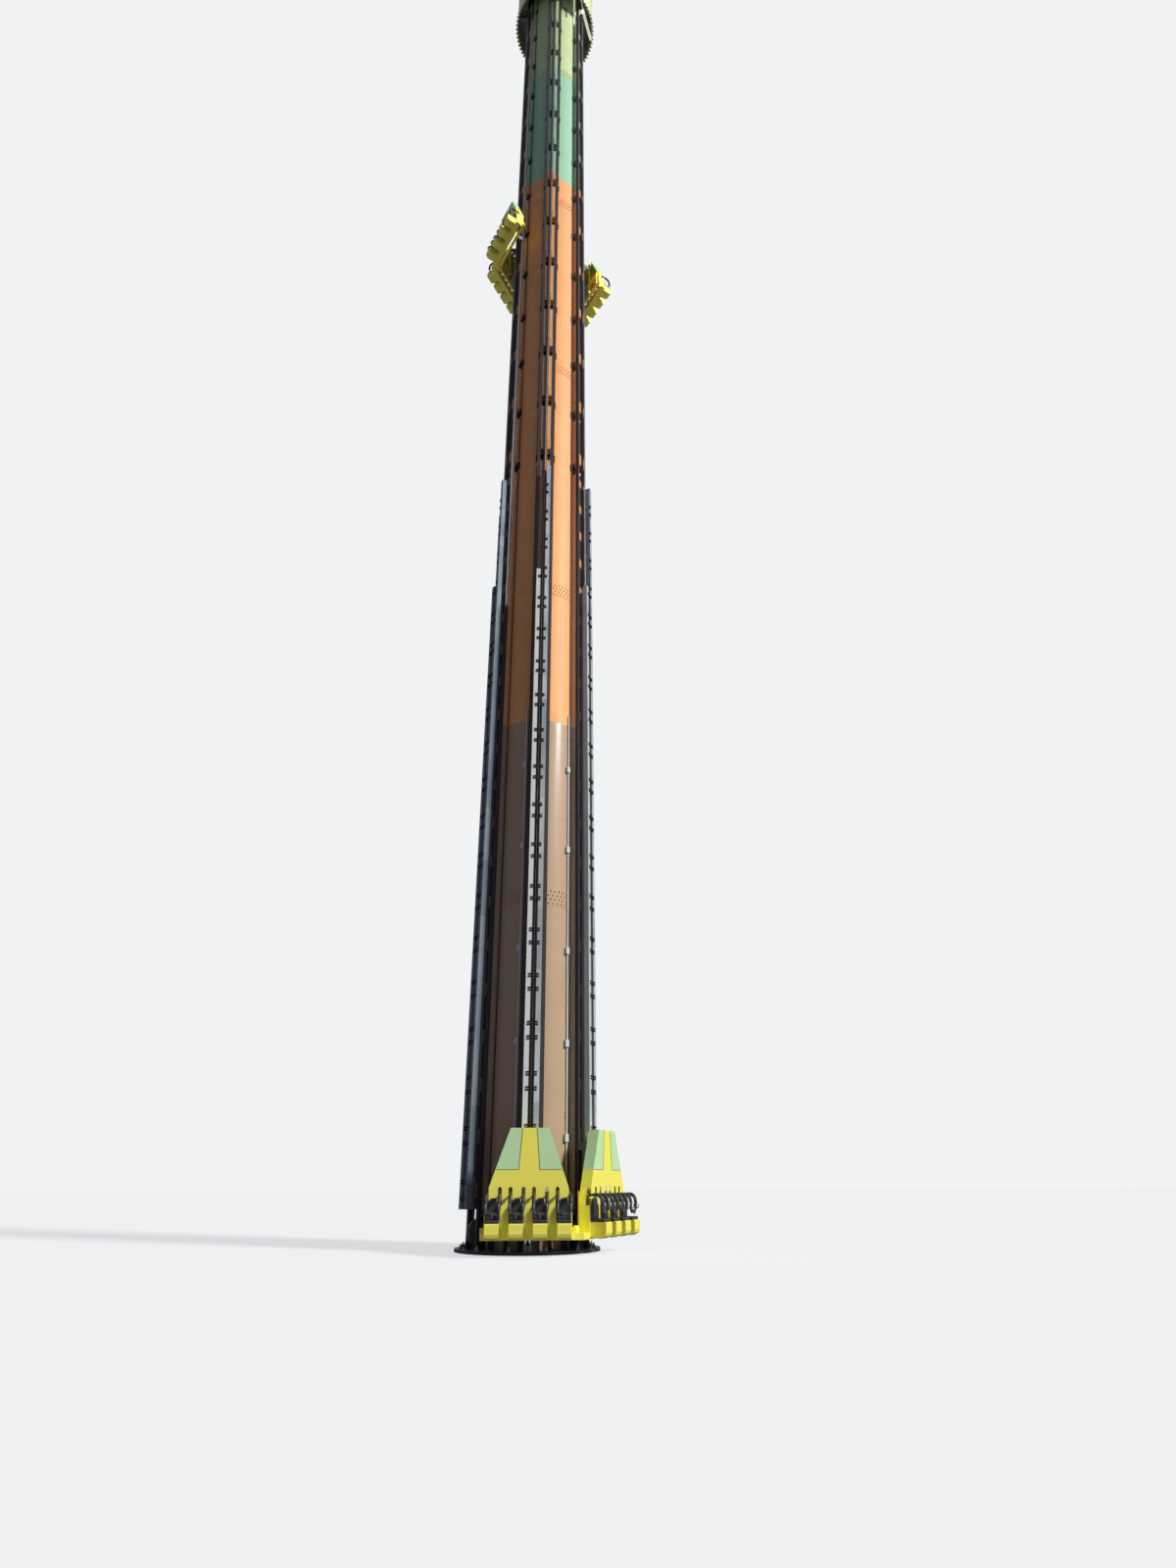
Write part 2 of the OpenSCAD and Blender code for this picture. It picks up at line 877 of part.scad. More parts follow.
module harness() {
    shoulder_bend = 80;
    corner_bend = 40;
    straight = harness_reach - shoulder_bend;
    drop = pivot_z - shoulder_bend;
    front_y = pivot_r + harness_reach;
    union() {
        both_sides()
            translate([arm_offset, 0, 0]) {
                difference() {
                    union() {
                        translate([-hub_w / 2, pivot_r, pivot_z])
                            rotate([0, 90, 0])
                                cylinder(h = hub_w, r = hub_r);
                        translate([0, pivot_r, pivot_z])
                            rotate([-90, 0, 0])
                                cylinder(h = straight, r = arm_r);
                    }
                    translate([-hub_w, pivot_r, pivot_z])
                        rotate([0, 90, 0])
                            cylinder(h = 2 * hub_w, r = shaft_r + touch_gap);
                }
                translate([0, pivot_r + straight, drop])
                    rotate([90, 0, 90])
                        quarter_bend(shoulder_bend, arm_r);
                translate([0, front_y, lap_bar_z + corner_bend])
                    cylinder(h = drop - lap_bar_z - corner_bend, r = arm_r);
                translate([0, front_y, lap_bar_z + corner_bend])
                    cylinder(h = drop - lap_bar_z - corner_bend - 10, r = pad_r);
                translate([-corner_bend, front_y, lap_bar_z + corner_bend])
                    rotate([-90, 0, 0])
                        quarter_bend(corner_bend, arm_r);
            }
        translate([0, front_y, lap_bar_z])
            rotate([0, 90, 0])
                cylinder(h = 2 * (arm_offset - corner_bend), r = arm_r, center = true);
    }
}

module bench_harness(turn) {
    color([0.12, 0.12, 0.13])
        rotate([0, 0, turn])
            for (x = seat_places)
                translate([x, 0, 0])
                    harness();
}

// Put a gondola part at its height, with the corner of its V at a direction
module place(vertex, z) {
    at_azimuth(vertex)
        translate([0, 0, z])
            children();
}

base_flange();
rope_sheaves();
hoist_ropes();
column_section(0, [0.59, 0.43, 0.31]);  // column_section_1
column_section(1, [0.88, 0.51, 0.31]);  // column_section_2
column_section(2, [0.88, 0.51, 0.31]);  // column_section_3
column_section(3, [0.88, 0.51, 0.31]);  // column_section_4
column_section(4, [0.37, 0.65, 0.55]);  // column_section_5
column_section(5, [0.70, 0.80, 0.43]);  // column_section_6
guide_rails(front_az);  // front_guide_rails
guide_rails(right_az);  // right_guide_rails
guide_rails(left_az);  // left_guide_rails
rail_carriers(front_az);  // front_rail_carriers
rail_carriers(right_az);  // right_rail_carriers
rail_carriers(left_az);  // left_rail_carriers
brake_fins(front_az);  // front_brake_fins
brake_fins(right_az);  // right_brake_fins
brake_fins(left_az);  // left_brake_fins
crown_deck();
crown_skirt();
crown_roof();
place(front_az, station_z) gondola_frame();  // front_frame
place(front_az, station_z) hoods();  // front_hoods
place(front_az, station_z) green_panels();  // front_green_panels
place(front_az, station_z) seat_pans();  // front_seat_pans
place(front_az, station_z) cushions();  // front_cushions
place(front_az, station_z) carriages();  // front_carriages
place(front_az, station_z) bench_harness(-30);  // front_harness_1
place(front_az, station_z) bench_harness(30);  // front_harness_2
place(right_az, right_z) gondola_frame();  // right_frame
place(right_az, right_z) hoods();  // right_hoods
place(right_az, right_z) green_panels();  // right_green_panels
place(right_az, right_z) seat_pans();  // right_seat_pans
place(right_az, right_z) cushions();  // right_cushions
place(right_az, right_z) carriages();  // right_carriages
place(right_az, right_z) bench_harness(-30);  // right_harness_1
place(right_az, right_z) bench_harness(30);  // right_harness_2
place(left_az, left_z) gondola_frame();  // left_frame
place(left_az, left_z) hoods();  // left_hoods
place(left_az, left_z) green_panels();  // left_green_panels
place(left_az, left_z) seat_pans();  // left_seat_pans
place(left_az, left_z) cushions();  // left_cushions
place(left_az, left_z) carriages();  // left_carriages
place(left_az, left_z) bench_harness(-30);  // left_harness_1
place(left_az, left_z) bench_harness(30);  // left_harness_2
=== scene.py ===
"""Looks of the drop tower ride: paint, bolts, trim, seats, harness pads, lamps and the stage."""

import math

import bpy
from bpy.props import FloatProperty, FloatVectorProperty, IntProperty, PointerProperty
from mathutils import Matrix, Vector


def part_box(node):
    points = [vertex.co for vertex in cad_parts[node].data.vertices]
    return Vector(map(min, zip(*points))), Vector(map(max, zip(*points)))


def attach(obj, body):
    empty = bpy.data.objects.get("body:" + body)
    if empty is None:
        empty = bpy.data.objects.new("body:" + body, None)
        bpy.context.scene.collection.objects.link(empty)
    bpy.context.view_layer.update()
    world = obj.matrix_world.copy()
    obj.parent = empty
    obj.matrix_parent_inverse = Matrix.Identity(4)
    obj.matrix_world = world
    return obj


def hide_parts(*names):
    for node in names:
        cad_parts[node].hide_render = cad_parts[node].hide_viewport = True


bl_info = {
    "name": "Drop tower ride",
    "version": (1, 0, 0),
    "blender": (4, 5, 0),
    "location": "View3D > Sidebar > Drop tower",
    "description": "Dresses the drop tower ride and sets up its stage",
    "category": "Object",
}

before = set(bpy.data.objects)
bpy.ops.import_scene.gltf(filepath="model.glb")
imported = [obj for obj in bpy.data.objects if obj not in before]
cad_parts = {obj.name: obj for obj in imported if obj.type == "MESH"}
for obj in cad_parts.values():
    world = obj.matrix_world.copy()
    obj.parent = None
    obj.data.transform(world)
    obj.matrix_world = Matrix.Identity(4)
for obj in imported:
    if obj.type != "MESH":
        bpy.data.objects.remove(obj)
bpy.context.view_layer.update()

# Places that come from the frame; all lengths are in metres
SIDES = ("front", "right", "left")
CORNER_DEG = {"front": -60.0, "right": 60.0, "left": 180.0}
BENCH_TURNS = (-30.0, 30.0)
GROUP_STEP_DEG = 60
GROUP_DEG = tuple(range(30, 390, GROUP_STEP_DEG))
COLUMN_NODES = tuple(f"column_section_{i}" for i in range(1, 7))
COLUMN_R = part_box("column_section_3")[1].x
JOINT_HEIGHTS = tuple(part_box(name)[0].z for name in COLUMN_NODES[1:])
LIP_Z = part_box("crown_skirt")[0].z
LIP_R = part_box("crown_skirt")[1].x
SKIRT_TOP_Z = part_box("crown_skirt")[1].z
DECK_UNDER_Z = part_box("left_rail_carriers")[1].z
BASE_TOP_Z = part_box("column_section_1")[0].z
SEAT_UNDER_Z = {side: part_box(f"{side}_seat_pans")[0].z for side in SIDES}
PAN_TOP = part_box("front_seat_pans")[1].z - SEAT_UNDER_Z["front"]
BACK_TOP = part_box("front_cushions")[1].z - SEAT_UNDER_Z["front"]

# Distances out from the tower's axis, and heights above the underside of the seats
STRIP_FACE_R = 0.858
FIN_FACE_R = 1.020
PIVOT_R = 1.200
PIVOT_Z = 0.500
LAP_BAR_R = PIVOT_R + 0.200
LAP_BAR_Z = 0.290
HOOD_FACE_R = 1.230
MITRE_DEG = 30.0

# Across a pair of rails, a bench or a seat
STRIP_HALF = 0.124
STRIP_HALF_DEG = 12.8
FIN_EDGE = 0.112
SEAT_PITCH = 0.300
SEAT_HALF = 0.094
ARM_OFFSET = 0.083

# Fittings of the rails: across them, and above or below each bracket
BOLT_COLUMNS = (-0.088, -0.042, 0.042, 0.088)
WIDE_BOLT_ROWS = (-0.10, -0.035, 0.035, 0.10)
CLOSE_BOLT_ROWS = (-0.06, 0.06)
PAD_EDGES = (-0.101, 0.050)
PAD_WIDTH = 0.051
PAD_PROUD = 0.006
CLAMP_ENDS = (0.031, 0.078)
CLAMP_ROWS = (-0.115, -0.080, 0.080, 0.115)

# Fittings of the column: how deep their feet are sunk, and where they stand beside the rails
SUNK = 0.004
PIPE_SHIFT_DEG = -16.5
BOX_SHIFT_DEG = -17.6
CABLE_SHIFTS_DEG = (-13.4, 13.4)
CABLE_FOOT_Z = 0.6
BOX_HEIGHTS = (1.35, 2.62, 3.98, 5.62, 7.05)


def colour_prop(name, text, value):
    """A colour property with its name, description and default."""
    return FloatVectorProperty(
        name=name, description=text, subtype="COLOR", size=3, min=0.0, max=1.0, default=value
    )


def length_prop(name, text, value):
    """A length property in metres."""
    return FloatProperty(name=name, description=text, default=value, min=0.0, unit="LENGTH")


def angle_prop(name, text, degrees):
    """An angle property, given in degrees."""
    return FloatProperty(
        name=name, description=text, subtype="ANGLE", default=math.radians(degrees)
    )


class TowerColours(bpy.types.PropertyGroup):
    """Paints and finishes of the ride, as linear colours."""

    brown: colour_prop("Brown", "Lowest band of the tower", (0.450, 0.310, 0.185))
    orange: colour_prop("Orange", "Second band of the tower", (0.880, 0.420, 0.155))
    teal: colour_prop("Teal", "Third band of the tower", (0.345, 0.610, 0.400))
    pale_green: colour_prop("Pale green", "Top band of the tower", (0.560, 0.700, 0.340))
    fin: colour_prop("Fin", "Bare metal of the brake fins", (0.680, 0.710, 0.700))
    seat: colour_prop("Seat", "Moulded seats and harness pads", (0.020, 0.020, 0.023))
    zinc: colour_prop("Zinc", "Studs and conduits", (0.700, 0.710, 0.700))
    # Gap is painted shade: the near-black of the open gaps between the side rails' brackets, and at
    # 0.4 of it the cavity behind the carriers on the column.
    gap: colour_prop("Gap", "Painted shade between the side rails' brackets", (0.030, 0.019, 0.016))
    lamp: colour_prop("Lamp", "Lamps on the crown", (1.000, 0.900, 0.650))
    floor: colour_prop("Floor", "Floor and backdrop", (0.860, 0.860, 0.850))


class TowerSizes(bpy.types.PropertyGroup):
    """Sizes of what the scene adds to the ride."""

    brown_top: length_prop("Brown top", "Height where orange starts", 7.95)
    orange_top: length_prop("Orange top", "Height where teal starts", 23.55)
    teal_top: length_prop("Teal top", "Height where pale green starts", 28.40)
    joint_bolt: length_prop("Joint bolt", "Radius of a bolt head on a column joint", 0.013)
    joint_band: length_prop("Joint band", "Height of the bolted band above a joint", 0.260)
    joint_rows: IntProperty(name="Joint rows", description="Rows of bolts above a joint", default=4)
    joint_bolts: IntProperty(name="Joint bolts", description="Bolts in a full row", default=64)
    seam_spacing: length_prop("Seam spacing", "Height between two weld seams", 1.481)
    upper_level: length_prop("Upper level", "Height of the lowest wide bracket", 14.250)
    upper_pitch: length_prop("Upper pitch", "Spacing of the upper brackets", 1.515)
    lower_pitch: length_prop("Lower pitch", "Spacing of the lower brackets", 0.675)
    strip_start: length_prop("Strip start", "Lower end of strips and fins", 0.520)
    tall_fin: length_prop("Tall fin", "Top of the taller fin", 13.500)
    short_fin: length_prop("Short fin", "Top of the shorter fin", 10.950)
    conduit: length_prop("Conduit", "Radius of a cable conduit", 0.012)
    conduit_top: length_prop("Conduit top", "Height where the pale conduits end", 8.15)
    rim_lamps: IntProperty(name="Rim lamps", description="Lamps round the crown", default=72)


class TowerLights(bpy.types.PropertyGroup):
    """Camera and light of the stage."""

    eye_distance: length_prop("Eye distance", "Distance of the camera from the tower", 13.2)
    eye_height: length_prop("Eye height", "Height of the camera", 0.8)
    turn: angle_prop("Turn", "Camera turned right of the tower", 3.77)
    pitch: angle_prop("Pitch", "Camera tilted up", 25.5)
    roll: angle_prop("Roll", "Camera rolled", 0.331)
    focal_px: FloatProperty(name="Focal length", description="In photo pixels", default=859.0)
    sun_power: FloatProperty(name="Key", description="Strength of the key light", default=4.2)
    fill_power: FloatProperty(name="Fill", description="Strength of the fill light", default=0.08)


def colours():
    return bpy.context.scene.tower_colours


def sizes():
    return bpy.context.scene.tower_sizes


def lights():
    return bpy.context.scene.tower_lights


# Mesh tools. A shape is a list of points and a list of faces.


def put_in_scene(name, data):
    """An object of its own for a mesh, a light or a camera."""
    made = bpy.data.objects.new(name, data)
    bpy.context.scene.collection.objects.link(made)
    return made


class Mould:
    """Collects the faces of one piece and casts them as a mesh object."""

    def __init__(self):
        self.points, self.faces = [], []

    def add(self, shape, where=Matrix()):
        """Adds a shape, moved by a matrix."""
        points, faces = shape
        start = len(self.points)
        self.points += [where @ Vector(p) for p in points]
        self.faces += [tuple(start + i for i in face) for face in faces]

    def cast(self, name, coat, slot, body="tower", smooth_deg=30.0, in_place_of=()):
        """Makes the object, gives it its finish and puts it on its body."""
        mesh = bpy.data.meshes.new(name)
        mesh.from_pydata([tuple(p) for p in self.points], [], self.faces)
        mesh.validate()
        mesh.update()
        piece = put_in_scene(name, mesh)
        mesh.materials.append(finish(coat))
        if smooth_deg:
            mesh.shade_smooth()
            mesh.set_sharp_from_angle(angle=math.radians(smooth_deg))
        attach(piece, body)
        if in_place_of:
            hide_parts(*in_place_of)
        return piece


def skin(rings, sides):
    """The faces over a row of rings of points, with a cap at each end."""
    faces = []
    for low in range(0, (rings - 1) * sides, sides):
        for i in range(sides):
            j = (i + 1) % sides
            faces.append((low + i, low + j, low + sides + j, low + sides + i))
    last = (rings - 1) * sides
    return [*faces, tuple(range(sides - 1, -1, -1)), tuple(range(last, last + sides))]


def box_shape(low, high):
    """A block between two corners."""
    (x0, y0, z0), (x1, y1, z1) = low, high
    rim = ((x0, y0), (x1, y0), (x1, y1), (x0, y1))
    return [(x, y, z) for z in (z0, z1) for x, y in rim], skin(2, 4)


def column_block(half, back, front, low, high):
    """A block on the column, from how far its back and front are out from the column's skin."""
    return box_shape((-half, COLUMN_R + back, low), (half, COLUMN_R + front, high))


def turned_shape(profile, sides):
    """A shape turned about Z, from (radius, height) pairs, with a cap at each end."""
    turns = [2 * math.pi * i / sides for i in range(sides)]
    points = [(r * math.cos(a), r * math.sin(a), z) for r, z in profile for a in turns]
    return points, skin(len(profile), sides)


def bolt_shape(radius):
    """A hexagon bolt head with a chamfer, on its washer, standing on z = 0."""
    outline = ((1.35, 0.0), (1.35, 0.25), (1.0, 0.25), (1.0, 0.85), (0.82, 1.0))
    return turned_shape([(radius * r, radius * z) for r, z in outline], 6)


def dome_shape(radius, height, sides=8):
    """A low round rivet head standing on z = 0."""
    outline = ((1.0, 0.0), (0.92, 0.45), (0.62, 0.85), (0.2, 1.0))
    return turned_shape([(radius * r, height * z) for r, z in outline], sides)


def headings(path):
    """Each point of a path with the direction that the path has there."""
    points = [Vector(p) for p in path]
    ahead, behind = [*points[1:], points[-1]], [points[0], *points[:-1]]
    return [(here, (a - b).normalized()) for here, a, b in zip(points, ahead, behind)]


def swept_shape(path, radius, sides=8):
    """A round tube along a list of points."""
    points = []
    guide = None
    for here, ahead in headings(path):
        guide = guide or ahead.orthogonal().normalized()
        guide = (guide - ahead * guide.dot(ahead)).normalized()
        other = ahead.cross(guide)
        for i in range(sides):
            a = 2 * math.pi * i / sides
            points.append(here + radius * (math.cos(a) * guide + math.sin(a) * other))
    return points, skin(len(path), sides)


def ribbon_shape(path, width_axis, width, thickness):
    """A flat strap along a list of points, as wide as given along one axis."""
    points = []
    across = Vector(width_axis).normalized()
    for here, ahead in headings(path):
        normal = across.cross(ahead).normalized()
        for x, y in ((-1, -1), (1, -1), (1, 1), (-1, 1)):
            points.append(here + across * x * width / 2 + normal * y * thickness / 2)
    return points, skin(len(path), 4)


def rounded_block(half, radius, steps=7):
    """A block with rounded edges, as a fine grid that can be shaped further."""
    points, faces, known = [], [], {}

    def corner(p):
        key = tuple(round(c, 6) for c in p)
        if key not in known:
            known[key] = len(points)
            inner = [max(-(h - radius), min(h - radius, c * h)) for c, h in zip(p, half)]
            out = Vector([c * h - q for c, h, q in zip(p, half, inner)])
            if out.length > 1e-9:
                out = out.normalized() * radius
            points.append(Vector(inner) + out)
        return known[key]

    ticks = [-1 + 2 * i / steps for i in range(steps + 1)]
    edge = [-1.0, -0.93, *ticks[1:-1], 0.93, 1.0]
    pairs = list(zip(edge, edge[1:]))
    for axis in range(3):
        for side in (-1.0, 1.0):
            for a0, a1 in pairs:
                for b0, b1 in pairs:
                    quad = []
                    for a, b in ((a0, b0), (a1, b0), (a1, b1), (a0, b1)):
                        p = [0.0, 0.0, 0.0]
                        p[axis], p[(axis + 1) % 3], p[(axis + 2) % 3] = side, a, b
                        quad.append(corner(p))
                    faces.append(tuple(quad if side > 0 else reversed(quad)))
    return points, faces


def at_azimuth(deg):
    """Turns a thing drawn outwards along +Y to a compass direction of the tower."""
    return Matrix.Rotation(math.radians(deg - 90.0), 4, "Z")


def bench_places(side):
    """The matrices of the two benches of a gondola, at the underside of its seats."""
    lift = Matrix.Translation((0.0, 0.0, SEAT_UNDER_Z[side]))
    return [lift @ at_azimuth(CORNER_DEG[side] + turn) for turn in BENCH_TURNS]


def seat_places(bench):
    """The matrices of the four seats of a bench."""
    steps = (-1.5, -0.5, 0.5, 1.5)
    return [bench @ Matrix.Translation((k * SEAT_PITCH, 0.0, 0.0)) for k in steps]


def facing_out(x, y, z):
    """Places a thing drawn on z = 0 so that it stands on a face that looks along +Y."""
    return Matrix.Translation((x, y, z)) @ Matrix.Rotation(math.radians(-90.0), 4, "X")


def rungs(start, end, step):
    """Heights at an even step, up or down, that stop before an end."""
    heights = []
    while (end - start) * step > 0:
        heights.append(start)
        start += step
    return heights


def bracket_levels():
    """Heights of the wide and the close brackets, as in the frame."""
    s = sizes()
    wide = rungs(s.upper_level, DECK_UNDER_Z - 0.3, s.upper_pitch)
    close = rungs(s.upper_level - s.lower_pitch, s.strip_start + 0.2, -s.lower_pitch)
    return wide, close


# Shader tools


class Sheet:
    """A short way to write a node tree. A value is a number, a colour, a vector or a socket."""

    def __init__(self, tree):
        self.tree = tree

    def node(self, kind, **settings):
        made = self.tree.nodes.new(kind)
        for key, value in settings.items():
            setattr(made, key, value)
        return made

    def put(self, socket, value):
        """Sets a value on a socket, or links it."""
        if isinstance(value, bpy.types.NodeSocket):
            self.tree.links.new(value, socket)
        elif socket.type == "RGBA":
            socket.default_value = (*value[:3], 1.0)
        else:
            socket.default_value = value

    def fill(self, made, **values):
        """Puts values on a node's sockets by name, and gives the node back."""
        for label, value in values.items():
            self.put(made.inputs[label.replace("_", " ")], value)
        return made

    def math(self, operation, first, second=0.0, clamp=False):
        """A Math node."""
        made = self.node("ShaderNodeMath", operation=operation, use_clamp=clamp)
        self.put(made.inputs[0], first)
        self.put(made.inputs[1], second)
        return made.outputs[0]

    def times(self, first, second, clamp=False):
        return self.math("MULTIPLY", first, second, clamp)

    def plus(self, base, value, share):
        """A base with a share of a value added to it."""
        return self.math("ADD", base, self.times(value, share))

    def over(self, value, threshold, gain):
        """How far a value lies over a threshold, times a gain, from 0 to 1."""
        return self.times(self.math("SUBTRACT", value, threshold, True), gain, True)

    def mix(self, share, first, second, blend="MIX"):
        """A colour Mix node."""
        made = self.node("ShaderNodeMix", data_type="RGBA", blend_type=blend)
        for number, value in ((0, share), (6, first), (7, second)):
            self.put(made.inputs[number], value)
        return made.outputs[2]

    def place(self):
        """Where a point of the surface is."""
        return self.node("ShaderNodeTexCoord").outputs["Object"]

    def split(self, vector):
        """The x, y and z of a vector."""
        return self.fill(self.node("ShaderNodeSeparateXYZ"), Vector=vector).outputs

    def noise(self, vector, scale, detail=4.0, roughness=0.55):
        made = self.fill(self.node("ShaderNodeTexNoise"), Vector=vector, Scale=scale,
                         Detail=detail, Roughness=roughness)
        return made.outputs["Fac"]

    def stretch(self, vector, amounts):
        return self.fill(self.node("ShaderNodeMapping"), Vector=vector, Scale=amounts).outputs[0]

    def blend_shaders(self, share, first, second, output):
        """Mixes two shaders and feeds the tree's output."""
        made = self.node("ShaderNodeMixShader")
        for socket, value in zip(made.inputs, (share, first.outputs[0], second.outputs[0])):
            self.put(socket, value)
        self.put(self.tree.nodes[output].inputs[0], made.outputs[0])

    def effect(self, name, **values):
        """Places a shared group with its own values, and gives its outputs."""
        tree = bpy.data.node_groups.get(name) or EFFECTS[name]()
        return self.fill(self.node("ShaderNodeGroup", node_tree=tree), **values).outputs


GREY = (0.5, 0.5, 0.5, 1.0)
SURFACE = ("Colour", "Roughness", "Height")


def new_group(name, inputs, outputs):
    """An empty node group; a number as default makes a number socket, and a colour a colour one."""
    tree = bpy.data.node_groups.new(name, "ShaderNodeTree")
    add = tree.interface.new_socket
    for label, default in inputs.items():
        kind = "NodeSocketFloat" if isinstance(default, float) else "NodeSocketColor"
        add(name=label, in_out="INPUT", socket_type=kind).default_value = default
    for label in outputs:
        kind = "NodeSocketColor" if label == "Colour" else "NodeSocketFloat"
        add(name=label, in_out="OUTPUT", socket_type=kind)
    sheet = Sheet(tree)
    return sheet, sheet.node("NodeGroupInput").outputs, sheet.node("NodeGroupOutput")


def aged_paint_group():
    """Gloss paint that has stood outdoors: faint patches, rain streaks and dull spots."""
    s, given, end = new_group(
        "aged_paint", {"Paint": GREY, "Patches": 0.10, "Streaks": 0.25, "Gloss Roughness": 0.28},
        SURFACE)
    place = s.place()
    patches = s.noise(place, 1.6, 5.0)
    streaks = s.noise(s.stretch(place, (14.0, 14.0, 0.55)), 1.0, 6.0, 0.6)
    specks = s.noise(place, 90.0, 2.0)
    dirt = s.times(s.math("SUBTRACT", patches, 0.42, True), given["Patches"])
    dirty = s.mix(s.times(dirt, 4.0, True), given["Paint"], (0.06, 0.05, 0.05))
    runs = s.over(streaks, 0.52, 3.0)
    streaked = s.mix(s.times(runs, given["Streaks"]), dirty, (0.10, 0.085, 0.075))
    rough = s.plus(s.plus(given["Gloss Roughness"], runs, 0.18), patches, 0.08)
    height = s.plus(s.times(specks, 0.35), patches, 0.65)
    s.fill(end, Colour=streaked, Roughness=rough, Height=height)
    return s.tree


def worn_steel_group():
    """Steel with lengthwise drawing marks, darker grease and paler rubbed spots."""
    s, given, end = new_group(
        "worn_steel", {"Metal": GREY, "Grease": GREY, "Grease Share": 0.4, "Base Roughness": 0.4},
        SURFACE)
    place = s.place()
    marks = s.noise(s.stretch(place, (160.0, 160.0, 1.4)), 1.0, 3.0)
    blots = s.noise(s.stretch(place, (5.0, 5.0, 1.2)), 1.0, 6.0, 0.65)
    share = s.times(s.over(blots, 0.45, 4.0), given["Grease Share"])
    drawn = s.mix(s.times(marks, 0.35), given["Metal"], (0.6, 0.6, 0.6), "SOFT_LIGHT")
    rough = s.plus(s.plus(given["Base Roughness"], marks, 0.16), share, 0.15)
    s.fill(end, Colour=s.mix(share, drawn, given["Grease"]), Roughness=rough, Height=marks)
    return s.tree


def moulded_grain_group():
    """Fine pebbled grain of moulded vinyl, with dull wear."""
    s, given, end = new_group(
        "moulded_grain", {"Skin": GREY, "Wear": GREY, "Grain Scale": 420.0}, SURFACE)
    place = s.place()
    grain = s.fill(s.node("ShaderNodeTexVoronoi", feature="DISTANCE_TO_EDGE"), Vector=place,
                   Scale=given["Grain Scale"])
    wear = s.noise(place, 7.0, 6.0, 0.6)
    s.fill(end, Colour=s.mix(s.over(wear, 0.5, 1.2), given["Skin"], given["Wear"]),
           Roughness=s.plus(0.42, wear, 0.25),
           Height=s.times(grain.outputs["Distance"], 3.0, True))
    return s.tree


def height_bands_group():
    """The four paint bands of the tower, by height."""
    labels = ("First", "Second", "Third", "Fourth")
    s, given, end = new_group("height_bands", dict.fromkeys(labels, GREY), ["Colour"])
    height = s.split(s.place())["Z"]
    size = sizes()
    colour = given[labels[0]]
    for top, label in zip((size.brown_top, size.orange_top, size.teal_top), labels[1:]):
        colour = s.mix(s.math("GREATER_THAN", height, top), colour, given[label])
    s.fill(end, Colour=colour)
    return s.tree


def bracket_mask_group():
    """Where the carriers get the tower's bands rather than painted shade, and where the front
    carriers' left half gets painted shade.
    """
    s, given, end = new_group("bracket_mask", {}, ["Mask", "Greased"])
    x, y, z = s.split(s.place())
    size = sizes()

    def near_level(pitch, reach):
        away = s.math("PINGPONG", s.math("SUBTRACT", z, size.upper_level), pitch / 2)
        return s.math("LESS_THAN", away, reach)

    high = s.math("GREATER_THAN", z, size.upper_level - 0.2)
    wide = s.times(near_level(size.upper_pitch, 0.145), high)
    close = s.times(near_level(size.lower_pitch, 0.095), s.math("SUBTRACT", 1.0, high))
    middle = s.math("LESS_THAN", s.math("ABSOLUTE", x), 0.25)
    front = s.times(middle, s.math("LESS_THAN", y, 0.0))
    level = s.fill(s.node("ShaderNodeCombineXYZ"), X=x, Y=y)
    reach = s.node("ShaderNodeVectorMath", operation="LENGTH")
    s.put(reach.inputs[0], level.outputs[0])
    behind = s.math("LESS_THAN", reach.outputs["Value"], 0.825)
    painted_there = s.math("ADD", s.math("ADD", wide, close), s.math("ADD", front, behind), True)
    # Greased is the left half of the front carriers, left of the rope guide.
    s.fill(end, Mask=painted_there, Greased=s.times(front, s.math("LESS_THAN", x, -0.004)))
    return s.tree


EFFECTS = {
    "aged_paint": aged_paint_group, "worn_steel": worn_steel_group,
    "moulded_grain": moulded_grain_group, "height_bands": height_bands_group,
    "bracket_mask": bracket_mask_group,
}


# Finishes


def new_material(name, **values):
    """A material and its shader; what is the same all over is set on the shader."""
    made = bpy.data.materials.new(name)
    made.use_nodes = True
    s = Sheet(made.node_tree)
    return made, s, s.fill(made.node_tree.nodes["Principled BSDF"], **values)


def finish_surface(s, shader, effect, bump, distance, **instead):
    """Feeds an effect's colour, roughness and height to the shader, or what is given instead."""
    relief = s.fill(s.node("ShaderNodeBump"), Strength=bump, Distance=distance,
                    Height=effect["Height"])
    feeds = {"Base_Color": effect["Colour"], "Roughness": effect["Roughness"], **instead}
    s.fill(shader, Normal=relief.outputs["Normal"], **feeds)


def painted(name, colour, coat, streaks, gloss, patches):
    """Gloss paint in one colour."""
    made, s, shader = new_material(name, Coat_Weight=coat, Coat_Roughness=0.12)
    effect = s.effect("aged_paint", Paint=colour, Patches=patches, Streaks=streaks,
                      Gloss_Roughness=gloss)
    finish_surface(s, shader, effect, 0.12, 0.002)
    return made


def steel(name, metal, grease_share, rough, metallic):
    """Worn steel."""
    made, s, shader = new_material(name, Metallic=metallic)
    effect = s.effect("worn_steel", Metal=metal, Grease=(0.008, 0.008, 0.009),
                      Grease_Share=grease_share, Base_Roughness=rough)
    finish_surface(s, shader, effect, 0.15, 0.001)
    return made


def moulded(name, skin_colour, wear, scale):
    """Moulded vinyl or foam skin."""
    made, s, shader = new_material(name, Coat_Weight=0.08, Coat_Roughness=0.35)
    effect = s.effect("moulded_grain", Skin=skin_colour, Wear=wear, Grain_Scale=scale)
    finish_surface(s, shader, effect, 0.20, 0.0008)
    return made


def tower_bands(s):
    """The tower's four colours, by height."""
    c = colours()
    return s.effect("height_bands", First=c.brown, Second=c.orange, Third=c.teal,
                    Fourth=c.pale_green)["Colour"]


